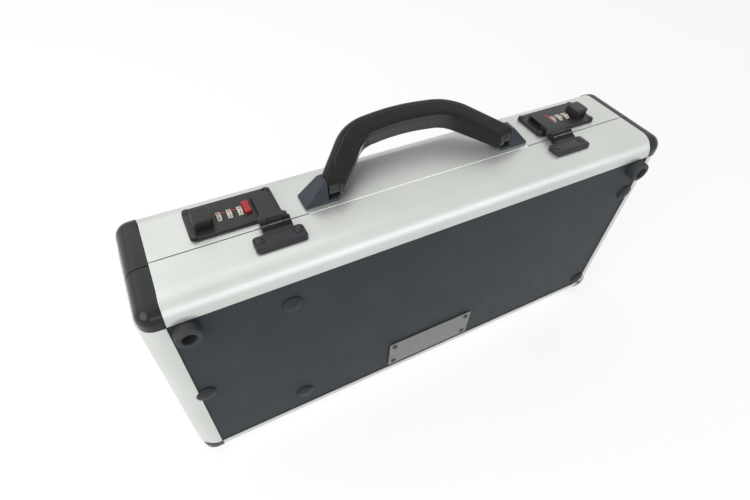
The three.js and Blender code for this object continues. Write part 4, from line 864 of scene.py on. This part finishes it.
def dress_dial(side, number):
    """A dial with a face for each number and a notch between faces, its printed numbers, and dark lines
    of painted shade in the notches.
    """
    node = f"lock_{side}_dial_{number}"
    low, high = box_mm(node)
    centre = (low + high) / 2
    half = (high.x - low.x) / 2
    radius = (high.y - low.y) / 2
    angles = []
    for i in range(NUMBERS):
        middle = i * NUMBER_STEP
        angles.append((middle - NUMBER_STEP / 2, DIAL_NOTCH))
        angles += [(middle + NUMBER_STEP * share, 0) for share in FACE_SHARES]
    bm = bmesh.new()
    rings = []
    for angle, drop in angles:
        a = math.radians(angle)
        outer = radius - drop
        section = [(-half, outer - DIAL_EDGE), (-half + DIAL_EDGE, outer), (half - DIAL_EDGE, outer),
                   (half, outer - DIAL_EDGE), (half, DIAL_BORE), (-half, DIAL_BORE)]
        rings.append([bm.verts.new(metres(
            centre.x + x, centre.y + r * math.cos(a), centre.z + r * math.sin(a))) for x, r in section])
    for one, two in zip(rings, rings[1:] + rings[:1]):
        for i in range(len(one)):
            j = (i + 1) % len(one)
            bm.faces.new((one[i], one[j], two[j], two[i]))
    dial = mesh_object(node + "_skin", from_bmesh(bm, node + "_skin"), DIAL, "dial")
    smooth(dial.data, DIAL_SMOOTH_ANGLE)
    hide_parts(node)
    body = frame["nodes"][node]["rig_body"]
    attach(dial, body)
    print_and_shade_parts = [bent_digit(i, centre, radius) for i in range(NUMBERS)]
    print_and_shade_parts += [cell_line(i, centre, radius, half) for i in range(NUMBERS)]
    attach(joined(f"{side}_dial_{number}_numbers", print_and_shade_parts), body)


def cell_line(value, centre, radius, half):
    """A dark line across the dial, in the middle of the notch between two numbers, which is painted
    shade.
    """
    angle = math.radians(FIRST_NUMBER_ANGLE + (value + 0.5) * NUMBER_STEP)
    outline = rectangle((-NOTCH_SHADE_WIDTH / 2, NOTCH_SHADE_WIDTH / 2), (-NOTCH_SHADE_SINK, PRINT_RISE))
    spin = Matrix.Rotation(angle - math.pi / 2, 4, "X")
    level = Matrix.Translation((0, 0, (radius - DIAL_NOTCH) * MM))
    across = Matrix(((0, 0, 1, 0), (1, 0, 0, 0), (0, 1, 0, 0), (0, 0, 0, 1)))
    place = Matrix.Translation(centre * MM) @ spin @ level @ across
    side = half - DIAL_EDGE
    return prism(f"line_{value}", outline, -side, side, place, PRINT_AND_NOTCH_SHADE, None)


def bent_digit(value, centre, radius):
    """One printed number, wrapped round the dial."""
    text = bpy.data.curves.new(f"digit_{value}", "FONT")
    text.body = str(value)
    text.size = DIGIT_SIZE * MM
    text.align_x = "CENTER"
    text.align_y = "CENTER"
    text.extrude = PRINT_RISE * MM
    holder = bpy.data.objects.new(f"digit_{value}", text)
    bpy.context.scene.collection.objects.link(holder)
    bpy.context.view_layer.update()
    graph = bpy.context.evaluated_depsgraph_get()
    mesh = bpy.data.meshes.new_from_object(holder.evaluated_get(graph))
    bpy.data.objects.remove(holder)
    bm = bmesh.new()
    bm.from_mesh(mesh)
    bmesh.ops.remove_doubles(bm, verts=bm.verts, dist=WELD * MM)
    middle = (max(v.co.y for v in bm.verts) + min(v.co.y for v in bm.verts)) / 2
    for i in range(-DIGIT_CUTS, DIGIT_CUTS + 1):
        cut(bm, (0, middle + i * DIGIT_CUT_GAP * MM, 0), (0, 1, 0))
    base = math.radians(FIRST_NUMBER_ANGLE + value * NUMBER_STEP)
    for vertex in bm.verts:
        u, v, lift = vertex.co
        angle = base - (v - middle) / (radius * MM)
        r = (radius + DIGIT_LIFT) * MM + lift
        vertex.co = (centre.x * MM + u * DIGIT_WIDTH_SHARE,
                     centre.y * MM + r * math.cos(angle), centre.z * MM + r * math.sin(angle))
    made = mesh_object(f"digit_{value}", from_bmesh(bm, f"digit_{value}"), PRINT_AND_NOTCH_SHADE)
    bpy.data.meshes.remove(mesh)
    return made


def dress_locks():
    for side in SIDES:
        refined(f"lock_{side}_plate", LOCK, "lock", bevel=0.18)
        refined(f"lock_{side}_thumb_slide", THUMB, "thumb", bevel=0.9, segments=4)
        refined(f"lock_{side}_change_lever", LEVER, "lever", bevel=0.25, segments=3)
        refined(f"lock_{side}_dial_axle", STEEL, "steel", bevel=0.1)
        refined(f"lock_{side}_detent_spring", STEEL, "steel", bevel=0.05)
        refined(f"hasp_{side}", HASP, "hasp", bevel=0.4, segments=4)
        refined(f"keeper_{side}", KEEPER, "hasp", bevel=0.3, segments=3)
        refined(f"hasp_pin_{side}", RIVET, "steel", bevel=0.1)
        for number in (1, 2, 3):
            dress_dial(side, number)
        index_line(side)
        boss_rings(side)


# Handle: its pivots' axis runs along X, and the grip leans back about it

PIVOT_RISE = 10.4
HANDLE_Y = 11.8
HANDLE_LEAN = 75
PIVOT_HALF_SPAN = 75.6
PIVOT_LENGTH = 9
PIVOT_BORE = 2.68
PIVOT_END_GAP = 0.3
BRACKET_FACE = 82.6
GRIP_SIDE_GAP = 0.5

# The grip's middle line: up the legs, round the bends and along the crown
GRIP_HEIGHT = 39.4
GRIP_CROWN = 1.6
GRIP_LEG_LEAN = 41
GRIP_BEND = 16
GRIP_FOOT = 8
LEG_STEPS = 12
BEND_STEPS = 16
CROWN_STEPS = 14

# The grip's section, at the feet and at the crown
GRIP_WIDTH = (19.5, 20.4)
GRIP_THICKNESS = (14.8, 18.6)
GRIP_SWELL_SHARE = 0.4
GRIP_ROUND_SHARE = 0.27
GRIP_ROUND_STEPS = 7
GRIP_SMOOTH_ANGLE = 32

# The seam groove, which is only a trace near the eyes and moves out to its place beyond them
GRIP_GROOVE = 0.6
GROOVE_SHAPE = ((1, 0), (0.35, 0.75), (0, 1), (-0.35, 0.75), (-1, 0))
GROOVE_END = 9.5
GROOVE_TURN = 15
GROOVE_SHIFT = 1.6
GROOVE_TRACE = 0.02
# The lighter strip in the near half of the groove is a painted highlight: its width, overlap and sink
GRIP_HIGHLIGHT_WIDTH = 0.5
GRIP_HIGHLIGHT_OVERLAP = 0.1
GRIP_HIGHLIGHT_SINK = 0.03

# The eyes that turn on the brackets' pins. Below the pivots' axis the grip is cut to their radius,
# and to its feet's larger one where it is free of the brackets.
EYE_RADIUS = 7.6
EYE_LENGTH = 11
EYE_ROUND = 0.5
GRIP_FOOT_RADIUS = 9.4
GRIP_FREE = 74.2

# How far the blocks that cut the grip reach, and how far rods go past what they cut
TOOL_HALF_DEPTH = 30
TOOL_BELOW = 60
TOOL_ABOVE = 80
EYE_ROD_PAST = 1
PIN_ROD_PAST = 2


def grip_path():
    """Points of half the grip's middle line, from a pivot to the crown, in X and height."""
    lean = math.radians(GRIP_LEG_LEAN)
    rise = GRIP_HEIGHT - GRIP_CROWN
    foot = Vector((PIVOT_HALF_SPAN, 0))
    shoulder = Vector((PIVOT_HALF_SPAN - rise * math.tan(lean), rise))
    crown = Vector((0, GRIP_HEIGHT + GRIP_CROWN))
    down = (foot - shoulder).normalized() * GRIP_BEND
    along = crown - shoulder
    along.y = 2 * GRIP_CROWN
    along = along.normalized() * GRIP_BEND

    def curve(a, b, c, steps):
        return [a.lerp(b, t).lerp(b.lerp(c, t), t) for t in (i / steps for i in range(1, steps + 1))]

    start = shoulder + down
    points = [foot - (start - foot).normalized() * GRIP_FOOT]
    points += [foot.lerp(start, i / LEG_STEPS) for i in range(LEG_STEPS + 1)]
    points += curve(start, shoulder, shoulder + along, BEND_STEPS)
    arc_start = shoulder + along
    points += curve(arc_start, Vector((arc_start.x / 2, crown.y)), crown, CROWN_STEPS)
    return points


def groove_place(width, thickness, shift):
    """How far from the section's middle the seam groove lies."""
    corner = min(width, thickness) * GRIP_ROUND_SHARE
    return width / 2 - corner - 2 * GRIP_GROOVE - shift


def grip_section(width, thickness, depth, shift):
    """A rounded rectangle with the seam groove in two of its faces."""
    corner = min(width, thickness) * GRIP_ROUND_SHARE
    x = width / 2 - corner
    y = thickness / 2 - corner
    ledge = groove_place(width, thickness, shift)
    groove = [(ledge + across * GRIP_GROOVE, thickness / 2 - down * depth)
              for across, down in GROOVE_SHAPE]
    right_top = arc(x, y, corner, 0, 90, GRIP_ROUND_STEPS)
    left_top = arc(-x, y, corner, 90, 180, GRIP_ROUND_STEPS)
    left_low = arc(-x, -y, corner, 180, 270, GRIP_ROUND_STEPS)
    right_low = arc(x, -y, corner, 270, 360, GRIP_ROUND_STEPS)
    under = [(a, -b) for a, b in reversed(groove)]
    return right_top + groove + left_top + left_low + under + right_low[:-1]


def grip_lip_section(width, thickness, shift):
    """The lighter strip, a painted highlight, that fills the near half of the groove on the grip's
    upper side.
    """
    ledge = groove_place(width, thickness, shift)
    across = (ledge - GRIP_HIGHLIGHT_OVERLAP, ledge + GRIP_HIGHLIGHT_WIDTH)
    down = (GRIP_HIGHLIGHT_SINK - thickness / 2, GRIP_GROOVE - thickness / 2)
    return rectangle(across, down)


def across_path(section, point, out, sign):
    """The section's points round a point of the path, on the side of the middle that sign says."""
    return [(sign * (point.x + out.x * a), b, point.y + out.y * a) for a, b in section]


def between(ends, share):
    return ends[0] + (ends[1] - ends[0]) * share


def loft(name, rings, skin, slot):
    """A closed surface over rings of as many points each."""
    bm = bmesh.new()
    rows = [[bm.verts.new(Vector(p) * MM) for p in ring] for ring in rings]
    size = len(rows[0])
    for one, two in zip(rows, rows[1:]):
        for i in range(size):
            j = (i + 1) % size
            bm.faces.new((one[i], one[j], two[j], two[i]))
    bm.faces.new(rows[0])
    bm.faces.new(rows[-1])
    return mesh_object(name, from_bmesh(bm, name), skin, slot)


def grip_loft():
    """The grip before its eyes are made, and the painted highlight strip of its seam, both upright."""
    path = grip_path()
    total = sum((b - a).length for a, b in zip(path[1:], path[2:]))
    halves = {1: [], -1: []}
    lips = {1: [], -1: []}
    walked = -GRIP_FOOT
    for i, point in enumerate(path):
        if i:
            walked += (point - path[i - 1]).length
        before = path[max(i - 1, 0)]
        after = path[min(i + 1, len(path) - 1)]
        tangent = (after - before).normalized()
        if i == len(path) - 1:
            tangent = Vector((-1, 0))
        swell = max(0, min(1, walked / total / GRIP_SWELL_SHARE))
        shift = GROOVE_SHIFT * max(0, min(1, (GROOVE_TURN - walked) / (GROOVE_TURN - GROOVE_END)))
        depth = GRIP_GROOVE if walked > GROOVE_END else GROOVE_TRACE
        width = between(GRIP_WIDTH, swell)
        thickness = between(GRIP_THICKNESS, swell)
        out = Vector((tangent.y, -tangent.x))
        section = grip_section(width, thickness, depth, shift)
        highlight_strip_section = grip_lip_section(width, thickness, shift)
        for sign in (1, -1):
            halves[sign].append(across_path(section, point, out, sign))
            if walked > GROOVE_END:
                lips[sign].append(across_path(highlight_strip_section, point, out, sign))
    grip = loft("handle_grip_skin", halves[1] + list(reversed(halves[-1][:-1])), GRIP, "grip")
    highlight_strip = loft("handle_grip_highlight_strip", lips[1] + list(reversed(lips[-1][:-1])), GRIP_HIGHLIGHT, "grip")
    return grip, highlight_strip


def rod(radius, x, steps, edge=0):
    """A rod along X about the pivots, its rims rounded by edge."""
    length = x[1] - x[0]
    sides = [(radius, 0), (radius, length)]
    if edge:
        sides = arc(radius - edge, edge, edge, -90, 0, 4)
        sides += arc(radius - edge, length - edge, edge, 0, 90, 4)
    profile = [(0, 0)] + sides + [(0, length)]
    return lathe("tool", profile, (x[0], 0, 0), RIGHTWARDS, GRIP, None, steps)


def dress_handle():
    """The grip with its eyes cut free and bored, the painted highlight strip in its seam, and the two
    brackets.
    """
    grip, highlight_strip = grip_loft()
    deep = (-TOOL_HALF_DEPTH, TOOL_HALF_DEPTH)
    far = PIVOT_HALF_SPAN + 4 * EYE_RADIUS
    below = block("tool", (-far, far), deep, (-TOOL_BELOW, 0), GRIP)
    combined(below, rod(EYE_RADIUS, (-far - EYE_ROD_PAST, far + EYE_ROD_PAST), steps=96), "DIFFERENCE")
    combined(below, rod(GRIP_FOOT_RADIUS, (-GRIP_FREE, GRIP_FREE), steps=96), "DIFFERENCE")
    combined(grip, below, "DIFFERENCE")
    face = BRACKET_FACE - GRIP_SIDE_GAP
    inner = face - EYE_LENGTH
    for sign in (-1, 1):
        ends = sorted((sign * face, sign * inner))
        combined(grip, rod(EYE_RADIUS, ends, steps=64, edge=EYE_ROUND), "UNION")
    room = block("tool", (-face, face), deep, (-TOOL_BELOW, TOOL_ABOVE), GRIP)
    combined(grip, room, "INTERSECT")
    pin_end = face + GRIP_SIDE_GAP - PIVOT_LENGTH - PIVOT_END_GAP
    for sign in (-1, 1):
        ends = sorted((sign * (face + PIN_ROD_PAST), sign * pin_end))
        combined(grip, rod(PIVOT_BORE, ends, steps=32), "DIFFERENCE")
    lean = Matrix.Rotation(math.radians(HANDLE_LEAN), 4, "X")
    place = Vector((0, PARTING_Y + HANDLE_Y, TOP_Z + PIVOT_RISE)) * MM
    for made in (grip, highlight_strip):
        made.data.transform(Matrix.Translation(place) @ lean.inverted())
        softened(made, angle=GRIP_SMOOTH_ANGLE)
        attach(made, "handle")
    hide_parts("handle_grip")
    for side in SIDES:
        refined(f"handle_bracket_{side}", BRACKET, "bracket", bevel=0.7, segments=3)


# Stage and lamps

# The sky's strength as light on the case. Where the sky is seen, it is white.
SKY_LEVEL = 0.38
FLOOR_SIZE = 3.0
FLOOR_TONE = 0.42
# The floor's glow as light on the case, and where the floor is seen
FLOOR_GLOW = (0.25, 0.735)


def make_world():
    world = bpy.data.worlds.new("studio")
    bpy.context.scene.world = world
    world.use_nodes = True
    tree = world.node_tree
    background = tree.nodes["Background"]
    background.inputs["Color"].default_value = (1, 1, 1, 1)
    strength = map_range(tree, background_rays(tree), (0, 1), (SKY_LEVEL, 1))
    tree.links.new(strength, background.inputs["Strength"])


def floor_skin():
    """A matt tone that takes the case's shadow, with a glow on top."""
    made = bpy.data.materials.new("floor_pale")
    made.use_nodes = True
    tree = made.node_tree
    tree.nodes.remove(tree.nodes["Principled BSDF"])
    matte = tree.nodes.new("ShaderNodeBsdfDiffuse")
    matte.inputs["Color"].default_value = (FLOOR_TONE, FLOOR_TONE, FLOOR_TONE, 1)
    glow = tree.nodes.new("ShaderNodeEmission")
    strength = map_range(tree, background_rays(tree), (0, 1), FLOOR_GLOW)
    tree.links.new(strength, glow.inputs["Strength"])
    both = tree.nodes.new("ShaderNodeAddShader")
    tree.links.new(matte.outputs[0], both.inputs[0])
    tree.links.new(glow.outputs[0], both.inputs[1])
    tree.links.new(both.outputs[0], tree.nodes["Material Output"].inputs["Surface"])
    return made


def make_floor():
    bm = bmesh.new()
    bmesh.ops.create_grid(bm, x_segments=4, y_segments=4, size=FLOOR_SIZE)
    floor = mesh_object("floor", from_bmesh(bm, "floor"), floor_skin())


def lamp(name, place, target, shape, size, watts, colour=(1, 1, 1)):
    light = bpy.data.lights.new(name, "AREA")
    light.shape = shape
    light.size, light.size_y = size
    light.energy = watts
    light.color = colour
    holder = bpy.data.objects.new(name, light)
    bpy.context.scene.collection.objects.link(holder)
    holder.location = place
    holder.rotation_mode = "QUATERNION"
    holder.rotation_quaternion = (Vector(target) - Vector(place)).to_track_quat("-Z", "Y")
    return holder


def make_lamps():
    """A soft lamp overhead, one from the left, and a cool window that only gloss shows."""
    lamp("overhead", (-0.7, 0.35, 1.4), (0, 0, 0.15), "ELLIPSE", size=(2.2, 2.2), watts=6.2)
    lamp("left", (-1.4, -0.6, 0.9), (0, 0, 0.15), "ELLIPSE", size=(1.3, 1.3), watts=10.0)
    window = lamp("window", (0.35, -1.55, 0.6), (0, 0, 0.18), "RECTANGLE",
                  size=(2.6, 0.62), watts=6.6, colour=(0.88, 0.93, 1.0))
    window.visible_diffuse = False


# Camera, from the photo's perspective: its axes and place in the part's frame

SENSOR_WIDTH = 36
LENS = 23.223
CLIP_START = 10
CAMERA_PLACE = (-182.209, PARTING_Y - 242.098, 464.595)
CAMERA_RIGHT = (0.888799, -0.456503, 0.040510)
CAMERA_UP = (0.313662, 0.670367, 0.672476)
CAMERA_BACK = (-0.334144, -0.584990, 0.739009)


def make_camera():
    camera = bpy.data.cameras.new("camera")
    camera.sensor_width = SENSOR_WIDTH
    camera.lens = LENS
    camera.clip_start = CLIP_START * MM
    holder = bpy.data.objects.new("camera", camera)
    bpy.context.scene.collection.objects.link(holder)
    axes = Matrix((CAMERA_RIGHT, CAMERA_UP, CAMERA_BACK)).transposed().to_4x4()
    holder.matrix_world = Matrix.Translation(Vector(CAMERA_PLACE) * MM) @ axes
    bpy.context.scene.camera = holder


make_camera()
make_world()
make_floor()
make_lamps()
bpy.context.scene.view_settings.view_transform = "Standard"

dress_halves()
parting_strips()
dress_panel_fittings()
dress_hinges()
dress_locks()
dress_handle()
